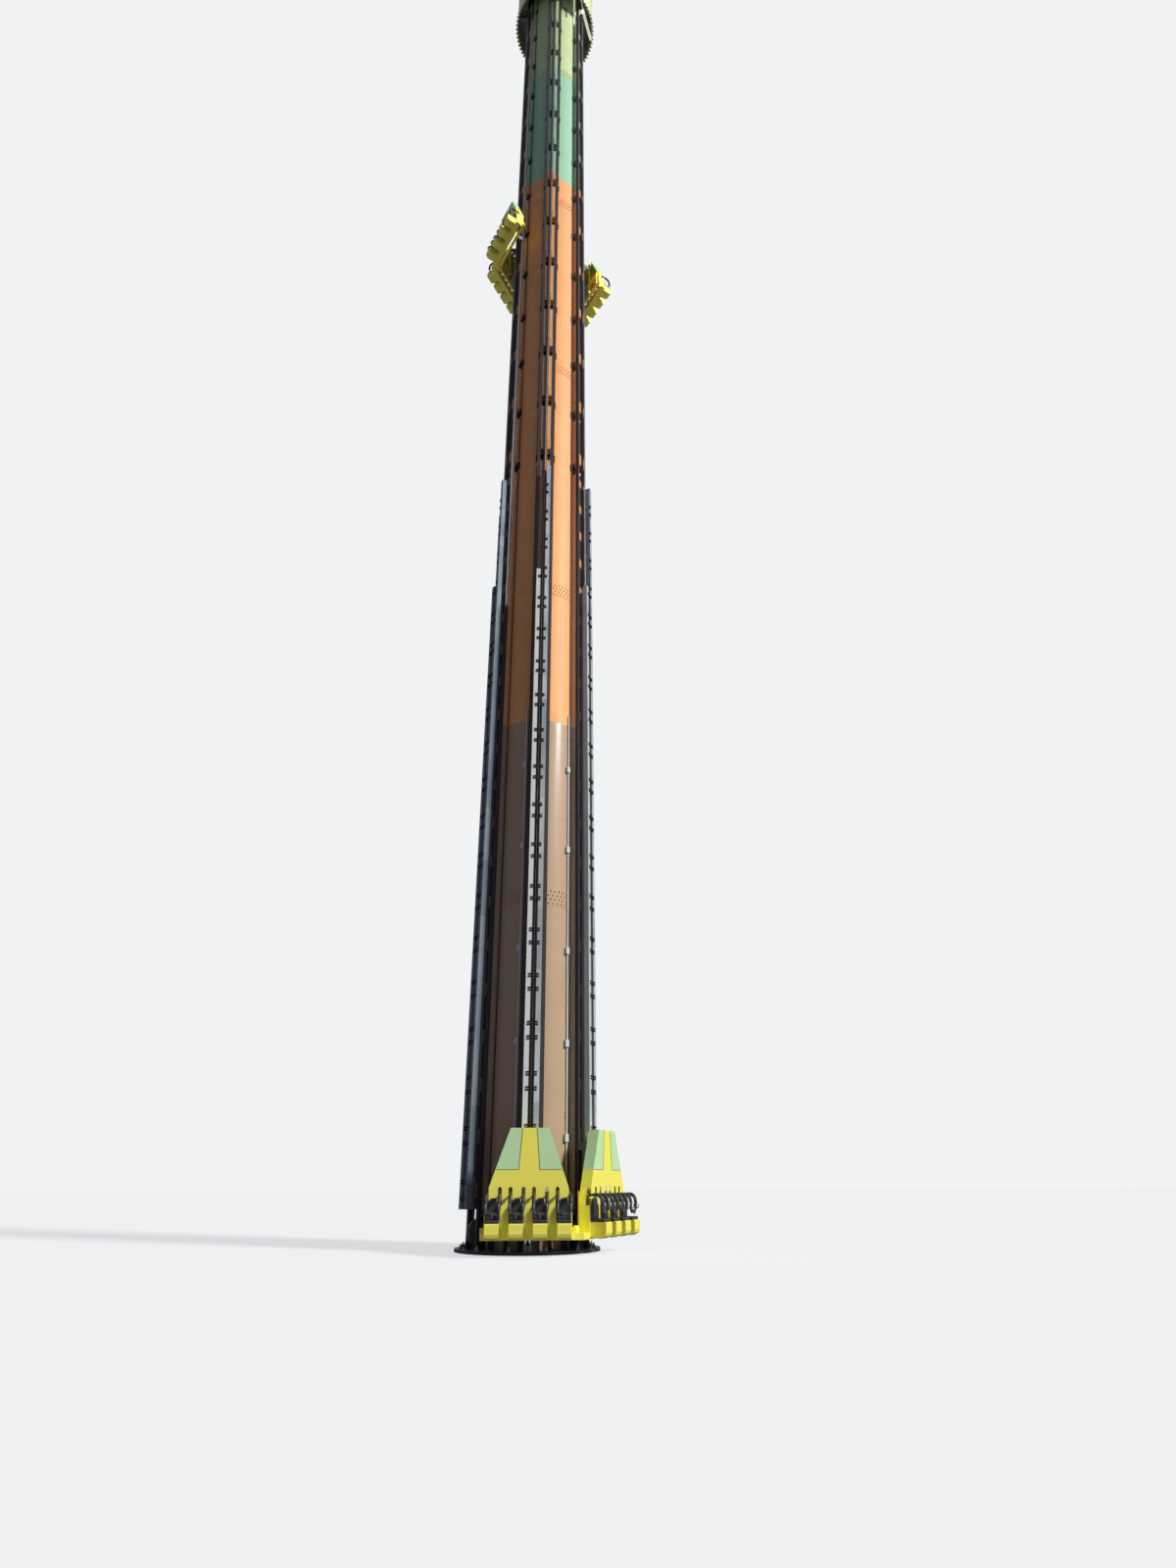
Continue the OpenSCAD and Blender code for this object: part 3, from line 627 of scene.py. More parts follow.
def column_paint(name):
    """The column's paint in four bands, near-black behind the rail carriers as painted shade of the
    dark cavity there.
    """
    made, s, shader = new_material(name, Coat_Roughness=0.24, Specular_IOR_Level=0.16)
    x, y, z = s.split(s.place())
    half_step = math.radians(GROUP_STEP_DEG / 2)
    bearing = s.math("SUBTRACT", s.math("ARCTAN2", y, x), half_step)
    away = s.math("PINGPONG", bearing, half_step)
    # Painted shade: near-black within the carriers' width, so the cavity behind the strips looks
    # dark through their windows.
    recess_shade = s.math("LESS_THAN", away, math.asin(STRIP_HALF / COLUMN_R))
    tone = s.mix(recess_shade, tower_bands(s), tuple(v * 0.4 for v in colours().gap))
    effect = s.effect("aged_paint", Paint=tone, Patches=0.06, Streaks=0.16,
                      Gloss_Roughness=0.44)
    brown = s.math("LESS_THAN", z, sizes().brown_top)
    finish_surface(s, shader, effect, 0.10, 0.002, Coat_Weight=s.times(brown, 0.26))
    return made


def strip_paint(name):
    """The tower's bands on the carriers, with painted shade: near-black between the brackets of the
    side rails, and the left half of the front carriers darkened.
    """
    made, s, shader = new_material(name, Coat_Weight=0.25, Coat_Roughness=0.10)
    mask = s.effect("bracket_mask")
    # Painted shade: the side rails' carriers are near-black between their brackets, where the gaps
    # look dark.
    tone = s.mix(mask["Mask"], colours().gap, tower_bands(s))
    # Painted shade: the left half of the front carriers, which the rope guide shades, is darkened.
    tone = s.mix(s.times(mask["Greased"], 0.66), tone, (0.035, 0.028, 0.026))
    effect = s.effect("aged_paint", Paint=tone, Patches=0.08, Streaks=0.35,
                      Gloss_Roughness=0.34)
    finish_surface(s, shader, effect, 0.10, 0.002)
    return made


def fin_metal(name):
    """Bare plates of the brake fins, with darker panels and rubbed patches, duller at the sides.
    Painted light: the shorter fins are paler as painted sunlight, the left fins get painted shade
    and a painted blue sky reflection, and the right fins painted shade.
    """
    made, s, shader = new_material(name)
    effect = s.effect("worn_steel", Metal=colours().fin, Grease=(0.05, 0.07, 0.07),
                      Grease_Share=0.35, Base_Roughness=0.28)
    place = s.place()
    x, y, z = s.split(place)
    panels = s.node("ShaderNodeTexWhiteNoise", noise_dimensions="3D")
    steps = s.node("ShaderNodeVectorMath", operation="FLOOR")
    s.put(steps.inputs[0], s.stretch(place, (2.2, 2.2, 1.1)))
    s.put(panels.inputs["Vector"], steps.outputs["Vector"])
    dark = s.over(panels.outputs["Value"], 0.45, 1.1)
    blots = s.noise(s.stretch(place, (3.0, 3.0, 1.8)), 1.0, 5.0, 0.6)
    share = s.math("MAXIMUM", dark, s.over(blots, 0.50, 3.0))
    sixths = s.math("DIVIDE", s.math("ARCTAN2", y, x), math.radians(GROUP_STEP_DEG))
    short = s.math("LESS_THAN", s.math("FLOORED_MODULO", sixths, 1.0), 0.5)
    # Painted light: the left fins are painted a dark blue of shade and sky reflection, the right
    # fins darker as painted shade.
    left_sky_shade = s.math("LESS_THAN", x, -0.30)
    right_shade = s.math("GREATER_THAN", x, 0.30)
    sideways = s.math("GREATER_THAN", s.math("ABSOLUTE", x), 0.30)
    wear = s.math("SUBTRACT", s.plus(0.75, sideways, 0.20), s.times(short, 0.55))
    # Painted highlight: the shorter fins are painted paler, like sunlit plates, less so at the
    # sides.
    pale = s.times(short, s.math("SUBTRACT", 0.8, s.times(sideways, 0.5)))
    tone = effect["Colour"]
    for amount, colour in ((s.times(share, wear, True), (0.080, 0.120, 0.130)),
                           (pale, (0.86, 0.86, 0.78)),
                           (s.times(left_sky_shade, 0.74), (0.055, 0.095, 0.130)),
                           (s.times(right_shade, 0.48), (0.120, 0.140, 0.135))):
        tone = s.mix(amount, tone, colour)
    dull = s.times(sideways, 0.34)
    finish_surface(s, shader, effect, 0.12, 0.001, Base_Color=tone,
                   Roughness=s.math("ADD", effect["Roughness"], dull, True),
                   Metallic=s.math("SUBTRACT", 0.45, dull))
    return made


def lamp_glass(name):
    """Warm clear glass with a faint layer of dust."""
    made, s, shader = new_material(name, Coat_Weight=0.3, Coat_Roughness=0.05, Roughness=0.15)
    layer = s.noise(s.place(), 40.0, 2.0)
    s.fill(shader, Base_Color=s.mix(layer, colours().lamp, (0.9, 0.82, 0.6)))
    return made


def floor_finish(name):
    """A pale floor that looks like the backdrop, and throws back less light than it shows."""
    made, s, shader = new_material(name, Roughness=0.9)
    tone = colours().floor
    seen = s.node("ShaderNodeLightPath").outputs["Is Camera Ray"]
    shade = s.mix(s.noise(s.place(), 3.0, 3.0), tone, tuple(v * 0.97 for v in tone))
    bounce = tuple(v * share for v, share in zip(tone, (0.30, 0.30, 0.38)))
    s.fill(shader, Base_Color=s.mix(seen, bounce, shade))
    pale = s.fill(s.node("ShaderNodeEmission"), Color=(0.93, 0.94, 0.95))
    s.blend_shaders(s.times(seen, 0.72), shader, pale, "Material Output")
    return made


def finish(name):
    """A finish by its name: the frame's own plain one, or one of these, made once."""
    c = colours()
    rows = {
        # Colour, coat, streaks, roughness of the gloss and patches
        "base_paint": (painted, (0.055, 0.055, 0.060), 0.2, 0.5, 0.4, 0.2),
        "box_paint": (painted, (0.50, 0.58, 0.56), 0.3, 0.3, 0.35, 0.06),
        "zinc_finish": (painted, c.zinc, 0.1, 0.3, 0.35, 0.08),
        "glowing_service_paint": (painted, (0.92, 0.90, 0.80), 0.3, 0.1, 0.3, 0.0),
        # Colour, share of grease, roughness and how metallic it is
        "clamp_steel": (steel, (0.010, 0.010, 0.011), 0.3, 0.5, 0.5),
        "davit_steel": (steel, (0.012, 0.012, 0.013), 0.3, 0.5, 0.5),
        "clip_steel": (steel, (0.3, 0.3, 0.3), 0.3, 0.4, 0.85),
        "anchor_steel": (steel, (0.30, 0.30, 0.31), 0.4, 0.4, 0.85),
        "lamp_cup": (steel, (0.25, 0.25, 0.24), 0.2, 0.4, 0.85),
        "grip_steel": (steel, (0.35, 0.36, 0.37), 0.2, 0.3, 0.85),
        # Skin, wear and how fine the grain is
        "seat_skin": (moulded, c.seat, (0.05, 0.05, 0.052), 420.0),
        "harness_foam": (moulded, c.seat, (0.04, 0.04, 0.042), 260.0),
        "cable_black": (moulded, (0.012, 0.012, 0.013), (0.04, 0.04, 0.04), 200.0),
        "trim_rubber": (moulded, (0.010, 0.010, 0.010), (0.03, 0.03, 0.03), 300.0),
        "belt_web": (moulded, (0.060, 0.060, 0.065), (0.12, 0.12, 0.12), 700.0),
        "column_paint": (column_paint,), "strip_paint": (strip_paint,),
        "fin_metal": (fin_metal,), "lamp_glass": (lamp_glass,), "floor_finish": (floor_finish,),
    }
    made = bpy.data.materials.get(name)
    if made is None:
        maker, *values = rows[name]
        made = maker(name, *values)
    return made


def shader_of(name):
    """The shader of a finish."""
    return finish(name).node_tree.nodes["Principled BSDF"]


def dress(nodes, coat):
    """Gives CAD nodes a finish."""
    for name in nodes:
        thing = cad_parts[name]
        thing.data.materials.clear()
        thing.data.materials.append(finish(coat))


def on_sides(*endings):
    return [f"{side}_{ending}" for ending in endings for side in SIDES]


# Operators, one for each group of pieces


class TOWER_OT_column(bpy.types.Operator):
    """Paint the column and add its joint bolts and weld seams"""

    bl_idname = "tower.column"
    bl_label = "Column"

    def execute(self, context):
        size = sizes()
        dress(COLUMN_NODES, "column_paint")
        bolts, seams = Mould(), Mould()
        head = bolt_shape(size.joint_bolt)
        for joint in JOINT_HEIGHTS:
            for row in range(size.joint_rows):
                z = joint + size.joint_band * (row + 0.6) / size.joint_rows
                for i in range(size.joint_bolts):
                    deg = 360.0 * (i + 0.5 * (row % 2)) / size.joint_bolts
                    if abs(deg % GROUP_STEP_DEG - GROUP_STEP_DEG / 2) >= STRIP_HALF_DEG:
                        bolts.add(head, at_azimuth(deg) @ facing_out(0.0, COLUMN_R, z))
        bolts.cast("column_joint_bolts", "column_paint", "column_orange")
        for joint in (JOINT_HEIGHTS[0] - size.seam_spacing * 4, *JOINT_HEIGHTS):
            for k in range(1, 4):
                z = joint + k * size.seam_spacing
                if BASE_TOP_Z + 0.4 < z < LIP_Z:
                    self.add_seam(seams, z, 0.0016, 0.012, 0.006)
        for joint in JOINT_HEIGHTS:
            self.add_seam(seams, joint, 0.0030, 0.007, 0.004)
        seams.cast("column_weld_seams", "column_paint", "column_orange")
        return {"FINISHED"}

    def add_seam(self, mould, z, proud, half, crest):
        """An open ring round the column, half high at its foot and crest high at its face."""
        foot, face = COLUMN_R - SUNK, COLUMN_R + proud
        ring = [(foot, z - half), (face, z - crest), (face, z + crest), (foot, z + half)]
        points, faces = turned_shape(ring, 128)
        mould.add((points, faces[:-2]))


class TOWER_OT_rails(bpy.types.Operator):
    """Finish the rails, strips and fins, and add their bolts, clamps and studs"""

    bl_idname = "tower.rails"
    bl_label = "Rails, strips and fins"

    def execute(self, context):
        dress(on_sides("guide_rails"), "rail_steel")
        shader_of("rail_steel").inputs["Specular IOR Level"].default_value = 0.25
        dress(on_sides("rail_carriers"), "strip_paint")
        dress(on_sides("brake_fins"), "fin_metal")
        wide, close = bracket_levels()
        self.add_bracket_bolts(wide, close)
        self.add_fin_fittings(close)
        return {"FINISHED"}

    def add_bracket_bolts(self, wide, close):
        """Bolts on the pads of the wide brackets, and bolted pads at the close ones."""
        bolts, pads = Mould(), Mould()
        bolt = bolt_shape(0.009)
        pad_face, pad_half = STRIP_FACE_R + PAD_PROUD, 0.09
        rows = [z + dz for z in wide for dz in WIDE_BOLT_ROWS]
        rows += [z + dz for z in close for dz in CLOSE_BOLT_ROWS]
        for deg in GROUP_DEG:
            turn = at_azimuth(deg)
            for x in BOLT_COLUMNS:
                for z in rows:
                    bolts.add(bolt, turn @ facing_out(x, pad_face, z))
            for z in close:
                for x in PAD_EDGES:
                    pads.add(box_shape((x, STRIP_FACE_R - 0.002, z - pad_half),
                                       (x + PAD_WIDTH, pad_face, z + pad_half)), turn)
        bolts.cast("strip_bolts", "strip_paint", "carrier_paint")
        pads.cast("strip_pads", "strip_paint", "carrier_paint", smooth_deg=0.0)

    def add_fin_fittings(self, close):
        """Dark clamps along the inner edges of the fins, and bright studs along the outer ones."""
        size = sizes()
        clamps, studs = Mould(), Mould()
        stud, stud_step, stud_inset = dome_shape(0.008, 0.005, 6), 0.072, 0.008
        back, front, half = FIN_FACE_R - 0.012, FIN_FACE_R + 0.010, 0.010
        for deg in GROUP_DEG:
            turn = at_azimuth(deg)
            for side, top in ((1.0, size.short_fin), (-1.0, size.tall_fin)):
                start, end = sorted(side * x for x in CLAMP_ENDS)
                for z in [z + dz for z in close for dz in CLAMP_ROWS]:
                    if z < top - 0.05:
                        clamps.add(box_shape((start, back, z - half), (end, front, z + half)), turn)
                edge = side * (FIN_EDGE - stud_inset)
                for z in rungs(size.strip_start + 0.05, top, stud_step):
                    studs.add(stud, turn @ facing_out(edge, FIN_FACE_R, z))
        clamps.cast("fin_clamps", "clamp_steel", "rail_steel", smooth_deg=0.0)
        studs.cast("fin_edge_studs", "zinc_finish", "fin_steel")


class TOWER_OT_conduits(bpy.types.Operator):
    """Run the conduits, cables and junction boxes up the column"""

    bl_idname = "tower.conduits"
    bl_label = "Conduits"

    def execute(self, context):
        size = sizes()
        pipes, cables, clips, boxes, stays = (Mould() for _ in range(5))
        wide, close = bracket_levels()
        y = COLUMN_R + 0.006 + size.conduit
        pipe = swept_shape([(0, y, CABLE_FOOT_Z), (0, y, size.conduit_top)], size.conduit, 10)
        y = COLUMN_R + 0.012
        cable = swept_shape([(0, y, CABLE_FOOT_Z), (0, y, DECK_UNDER_Z - 0.05)], 0.008, 8)
        for deg in GROUP_DEG:
            turn = at_azimuth(deg + PIPE_SHIFT_DEG)
            pipes.add(pipe, turn)
            for z in rungs(0.9, size.conduit_top - 0.1, 0.757):
                clips.add(column_block(0.024, -SUNK, 0.010, z, z + 0.022), turn)
            turn = at_azimuth(deg + BOX_SHIFT_DEG)
            for z in BOX_HEIGHTS:
                boxes.add(column_block(0.030, -0.006, 0.036, z, z + 0.095), turn)
                boxes.add(column_block(0.033, 0.036, 0.042, z - 0.003, z + 0.098), turn)
            for shift in CABLE_SHIFTS_DEG:
                turn = at_azimuth(deg + shift)
                cables.add(cable, turn)
                for z in wide:
                    stays.add(column_block(0.020, -SUNK, 0.026, z - 0.34, z - 0.17), turn)
        pipes.cast("conduit_pipes", "zinc_finish", "fin_steel")
        cables.cast("conduit_cables", "cable_black", "rail_steel")
        clips.cast("conduit_clips", "clip_steel", "fin_steel", smooth_deg=0.0)
        boxes.cast("junction_boxes", "box_paint", "fin_steel", smooth_deg=0.0)
        stays.cast("cable_stays", "clamp_steel", "rail_steel", smooth_deg=0.0)
        return {"FINISHED"}


class TOWER_OT_base(bpy.types.Operator):
    """Finish the base flange and add its anchor nuts"""

    bl_idname = "tower.base"
    bl_label = "Base"

    def execute(self, context):
        dress(["base_flange"], "base_paint")
        nuts = Mould()
        washer_r, nut_r, stud_r = 0.034, 0.026, 0.013
        nut = turned_shape([(washer_r, 0.0), (washer_r, 0.005), (nut_r, 0.005), (nut_r, 0.026),
                            (0.022, 0.030), (stud_r, 0.030), (stud_r, 0.055), (0.010, 0.058)], 6)
        count, bolt_circle_r = 12, 0.930
        for i in range(count):
            turn = at_azimuth((i + 0.5) * 360.0 / count)
            nuts.add(nut, turn @ Matrix.Translation((0.0, bolt_circle_r, BASE_TOP_Z)))
        nuts.cast("anchor_nuts", "anchor_steel", "base_steel")
        return {"FINISHED"}


class TOWER_OT_crown(bpy.types.Operator):
    """Finish the crown and add its lamps, ribs and davit"""

    bl_idname = "tower.crown"
    bl_label = "Crown"

    def execute(self, context):
        dress(["crown_skirt", "crown_roof"], "crown_paint")
        dress(["crown_deck"], "deck_paint")
        self.add_rim_lamps()
        self.add_skirt_seams()
        self.add_service_beam()
        self.add_davit()
        return {"FINISHED"}

    def add_rim_lamps(self):
        """Lamps in cups round the crown's lower rim, leaning down and inwards."""
        lamps, cups = Mould(), Mould()
        bulb = turned_shape([(0.013, 0.0), (0.025, 0.012), (0.030, 0.029), (0.025, 0.049),
                             (0.011, 0.059)], 10)
        cup = turned_shape([(0.028, -0.012), (0.028, 0.020), (0.021, 0.024)], 10)
        lean = Matrix.Translation((0.0, LIP_R - 0.006, LIP_Z + 0.008)) @ Matrix.Rotation(
            math.radians(-140.0), 4, "X")
        count = sizes().rim_lamps
        for i in range(count):
            place = at_azimuth(360.0 * i / count) @ lean
            lamps.add(bulb, place)
            cups.add(cup, place)
        lamps.cast("rim_lamps", "lamp_glass", "crown_paint")
        cups.cast("rim_lamp_cups", "lamp_cup", "crown_paint")

    def add_skirt_seams(self):
        """Thin strips over the joints of the skirt's sheets."""
        seams = Mould()
        count, half, back, front = 24, 0.004, LIP_R - 0.0105, LIP_R - 0.0072
        strip = box_shape((-half, back, LIP_Z + 0.04), (half, front, SKIRT_TOP_Z))
        for k in range(count):
            seams.add(strip, at_azimuth(360.0 * k / count))
        seams.cast("skirt_seams", "crown_paint", "crown_paint", smooth_deg=0.0)

    def add_service_beam(self):
        """The pale service beam on its hangers, and the post beside the column, with a faint glow
        of painted sunlight.
        """
        pale = Mould()
        low, high, half, overlap = LIP_Z - 0.040, LIP_Z + 0.040, 0.036, 0.03
        route = [(0.616, -0.465), (0.815, -0.559), (1.080, 0.090)]
        for here, there in zip(route, route[1:]):
            along = Vector((*there, 0.0)) - Vector((*here, 0.0))
            turn = along.to_track_quat("Y", "Z").to_matrix().to_4x4()
            beam = box_shape((-half, -overlap, low), (half, along.length + overlap, high))
            pale.add(beam, Matrix.Translation((*here, 0.0)) @ turn)
        y, post_length, post_r = COLUMN_R + 0.030, 1.48, 0.022
        post = [(0, y, DECK_UNDER_Z - post_length), (0, y, DECK_UNDER_Z)]
        pale.add(swept_shape(post, post_r, 10), at_azimuth(-42.5))
        hanger_r, hanger_lean = 0.012, 0.93
        for x, y in route[1:]:
            top = (x * hanger_lean, y * hanger_lean, DECK_UNDER_Z)
            pale.add(swept_shape([(x, y, high - 0.01), top], hanger_r, 8))
        pale.cast("service_beam", "glowing_service_paint", "crown_paint")
        # Painted light: a faint warm glow, so the beam and post look sunlit where the skirt shades
        # them.
        glow = shader_of("glowing_service_paint").inputs
        glow["Emission Color"].default_value = (1.0, 0.97, 0.84, 1.0)
        glow["Emission Strength"].default_value = 0.45

    def add_davit(self):
        """The dark davit on the column: a bracket and its slanted arm."""
        beams = Mould()
        foot, front, low, high = COLUMN_R - 0.006, 0.745, 31.60, 31.98
        bracket = [(0, foot, low), (0, front, low), (0, front, high), (0, foot, high)]
        arm = [(0, front, high - 0.02), (0.17, 0.80, 31.86), (0, front, low + 0.06)]
        for path in (bracket, arm):
            beams.add(swept_shape(path, 0.010, 8), at_azimuth(-63.0))
        beams.cast("column_davit", "davit_steel", "rail_steel")


class TOWER_OT_hoist(bpy.types.Operator):
    """Finish the ropes and sheaves"""

    bl_idname = "tower.hoist"
    bl_label = "Hoist"

    def execute(self, context):
        dress(["rope_sheaves"], "sheave_steel")
        dress(["hoist_ropes"], "rope_steel")
        return {"FINISHED"}


class TOWER_OT_bodywork(bpy.types.Operator):
    """Finish the gondola bodywork and add its trim and rivets"""

    bl_idname = "tower.bodywork"
    bl_label = "Gondola bodywork"

    def execute(self, context):
        dress(on_sides("frame", "hoods", "seat_pans"), "gondola_yellow")
        dress(on_sides("green_panels"), "panel_green")
        for side in SIDES:
            body = f"{side}_gondola"
            trim, rivets, sills = Mould(), Mould(), Mould()
            for place, turn in zip(bench_places(side), BENCH_TURNS):
                self.add_trim(trim, place)
                self.add_rivets(rivets, place)
                self.add_sill(sills, place, math.copysign(1.0, turn))
            sills.cast(f"{side}_bench_sills", "gondola_yellow", "gondola_yellow", body, 0.0)
            trim.cast(f"{side}_panel_trim", "trim_rubber", "harness_black", body, 0.0)
            rivets.cast(f"{side}_hood_rivets", "gondola_yellow", "gondola_yellow", body)
        return {"FINISHED"}

    def add_sill(self, mould, place, inner):
        """The box beam under the rear edge of the seats, mitred at the corner of the V."""
        back, front, low, high = HOOD_FACE_R - 0.085, HOOD_FACE_R - 0.004, -0.006, 0.070
        end, mitre = -0.600, math.tan(math.radians(MITRE_DEG))
        rim = ((end, back), (back * mitre, back), (front * mitre, front), (end, front))
        faces = skin(2, 4)
        if inner < 0:
            faces = [tuple(reversed(face)) for face in faces]
        mould.add(([(inner * x, y, z) for z in (low, high) for x, y in rim], faces), place)

    def add_trim(self, mould, place):
        """Dark seals between the tongue and the green panels."""
        split, top, low_half, top_half, edge = 0.800, 1.300, 0.135, 0.095, 0.425
        face, gap, thickness = HOOD_FACE_R + 0.0012, 0.0003, 0.003
        for sign in (-1.0, 1.0):
            seal = [(sign * (low_half + gap), face, split), (sign * (top_half + gap), face, top)]
            mould.add(ribbon_shape(seal, (1, 0, 0), 0.006, thickness), place)
            seal = [(sign * low_half, face, split), (sign * edge, face, split)]
            mould.add(ribbon_shape(seal, (0, 0, 1), 0.005, thickness), place)

    def add_rivets(self, mould, place):
        """Rows of rivets along the folds of a hood."""
        rivet = dome_shape(0.006, 0.004, 8)
        for last, pitch, height in ((6, 0.06, 0.775), (5, 0.045, 1.282)):
            for i in range(-last, last + 1):
                mould.add(rivet, place @ facing_out(pitch * i, HOOD_FACE_R, height))


def seat_back_shape():
    """A moulded seat back with side wings and a domed headrest, facing +Y."""
    half_depth, half_height = 0.0185, (BACK_TOP - PAN_TOP - 0.008) / 2
    points, faces = rounded_block((SEAT_HALF, half_depth, half_height), 0.016, 14)
    middle = PAN_TOP + 0.006 + half_height
    dome_r, least_half, slope = 0.060, 0.014, 0.03
    shoulder, crown = BACK_TOP - 0.075, BACK_TOP - dome_r
    wing_start, wing_out, hollow, bulge = 0.55, 0.005, 0.006, 0.004
    shaped = []
    for x, y, z in points:
        z += middle
        share, width = x / SEAT_HALF, SEAT_HALF
        if z > shoulder - slope:
            blend = min(1.0, (z - shoulder + slope) / slope)
            width += (dome_r - SEAT_HALF) * blend * blend * (3 - 2 * blend)
        if z > crown:
            width = math.sqrt(max(dome_r ** 2 - min(z - crown, dome_r) ** 2, least_half ** 2))
        if y > 0:
            wing = max(0.0, abs(share) - wing_start) / (1 - wing_start)
            y += wing_out * wing * wing if z < shoulder else 0.0
            y -= hollow * (1 - share * share) * (1 if z < shoulder else 0.4)
            y += bulge * math.exp(-((z - PAN_TOP - 0.055) / 0.03) ** 2)
        shaped.append((share * width, y + HOOD_FACE_R + 0.0205, z))
    return shaped, faces


def seat_pad_shape():
    """A moulded seat pad with a dished middle, raised sides and a centre horn."""
    half_depth, half_height = 0.079, 0.0195
    points, faces = rounded_block((SEAT_HALF, half_depth, half_height), 0.017, 14)
    dish, side_start, side_up, horn_start, horn_up = 0.007, 0.6, 0.004, 0.35, 0.010
    shaped = []
    for x, y, z in points:
        u, v = x / SEAT_HALF, y / half_depth
        if z > 0:
            z -= dish * (1 - u * u) * (1 - v * v)
            z += side_up * max(0.0, abs(u) - side_start) / (1 - side_start)
            horn = math.exp(-(u / 0.22) ** 2) * max(0.0, v - horn_start) / (1 - horn_start)
            z += horn_up * horn
        shaped.append((x, y + HOOD_FACE_R + 0.048 + half_depth, z + PAN_TOP + half_height))
    return shaped, faces


class TOWER_OT_seats(bpy.types.Operator):
    """Model the moulded seats"""

    bl_idname = "tower.seats"
    bl_label = "Seats"

    def execute(self, context):
        back, pad = seat_back_shape(), seat_pad_shape()
        for side in SIDES:
            seats = Mould()
            for bench in bench_places(side):
                for here in seat_places(bench):
                    seats.add(back, here)
                    seats.add(pad, here)
            piece = seats.cast(f"{side}_seats", "seat_skin", "seat_black", f"{side}_gondola",
                               40.0, (f"{side}_cushions",))
        return {"FINISHED"}


def arm_path():
    """The padded part of a harness arm: over the shoulder and down to the lap bar."""
    bend, steps = 0.080, 8
    y, z = LAP_BAR_R - bend, PIVOT_Z - bend
    path = [(0.0, PIVOT_R + 0.075, PIVOT_Z), (0.0, y, PIVOT_Z)]
    for i in range(1, steps + 1):
        a = math.radians(90.0 - 90.0 * i / steps)
        path.append((0.0, y + bend * math.cos(a), z + bend * math.sin(a)))
    return [*path, (0.0, LAP_BAR_R, LAP_BAR_Z + 0.040)]


class TOWER_OT_harnesses(bpy.types.Operator):
    """Finish the harnesses and add their foam sleeves, lap pads, grips and belts"""

    bl_idname = "tower.harnesses"
    bl_label = "Harnesses"

    def execute(self, context):
        for side in SIDES:
            for row, bench in enumerate(bench_places(side), 1):
                dress([f"{side}_harness_{row}"], "harness_foam")
                sleeves, grips, belts = Mould(), Mould(), Mould()
                for here in seat_places(bench):
                    self.add_sleeves(sleeves, here)
                    self.add_grips(grips, here)
                    self.add_belt(belts, here)
                body = f"{side}_harness_row_{row}"
                sleeves.cast(f"{side}_foam_{row}", "harness_foam", "harness_black", body, 50.0)
                grips.cast(f"{side}_grips_{row}", "grip_steel", "carriage_steel", body, 40.0)
                belts.cast(f"{side}_belts_{row}", "belt_web", "harness_black", body, 0.0)
        return {"FINISHED"}

    def add_sleeves(self, mould, here):
        """Foam over both arms and a pad on the lap bar."""
        for x in (-ARM_OFFSET, ARM_OFFSET):
            mould.add(swept_shape(arm_path(), 0.0225, 12), here @ Matrix.Translation((x, 0.0, 0.0)))
        pad = rounded_block((0.058, 0.021, 0.025), 0.018, 6)
        mould.add(pad, here @ Matrix.Translation((0.0, LAP_BAR_R, LAP_BAR_Z)))

    def add_grips(self, mould, here):
        """A bent grip in front of each arm."""
        bends = ((0.012, 0.405), (0.040, 0.400), (0.046, 0.385),
                 (0.046, 0.345), (0.040, 0.330), (0.012, 0.325))
        for x in (-ARM_OFFSET, ARM_OFFSET):
            mould.add(swept_shape([(x, LAP_BAR_R + out, z) for out, z in bends], 0.006, 8), here)

    def add_belt(self, mould, here):
        """A short belt that hangs from the lap pad."""
        front = LAP_BAR_R + 0.022
        drops = ((0.0, 0.012), (0.003, -0.010), (0.0, -0.045))
        path = [(0.0, front + out, LAP_BAR_Z + up) for out, up in drops]
        mould.add(ribbon_shape(path, (1, 0, 0), 0.024, 0.003), here)


class TOWER_OT_carriages(bpy.types.Operator):
    """Finish the roller carriages"""

    bl_idname = "tower.carriages"
    bl_label = "Carriages"

    def execute(self, context):
        dress(on_sides("carriages"), "carriage_steel")
        return {"FINISHED"}


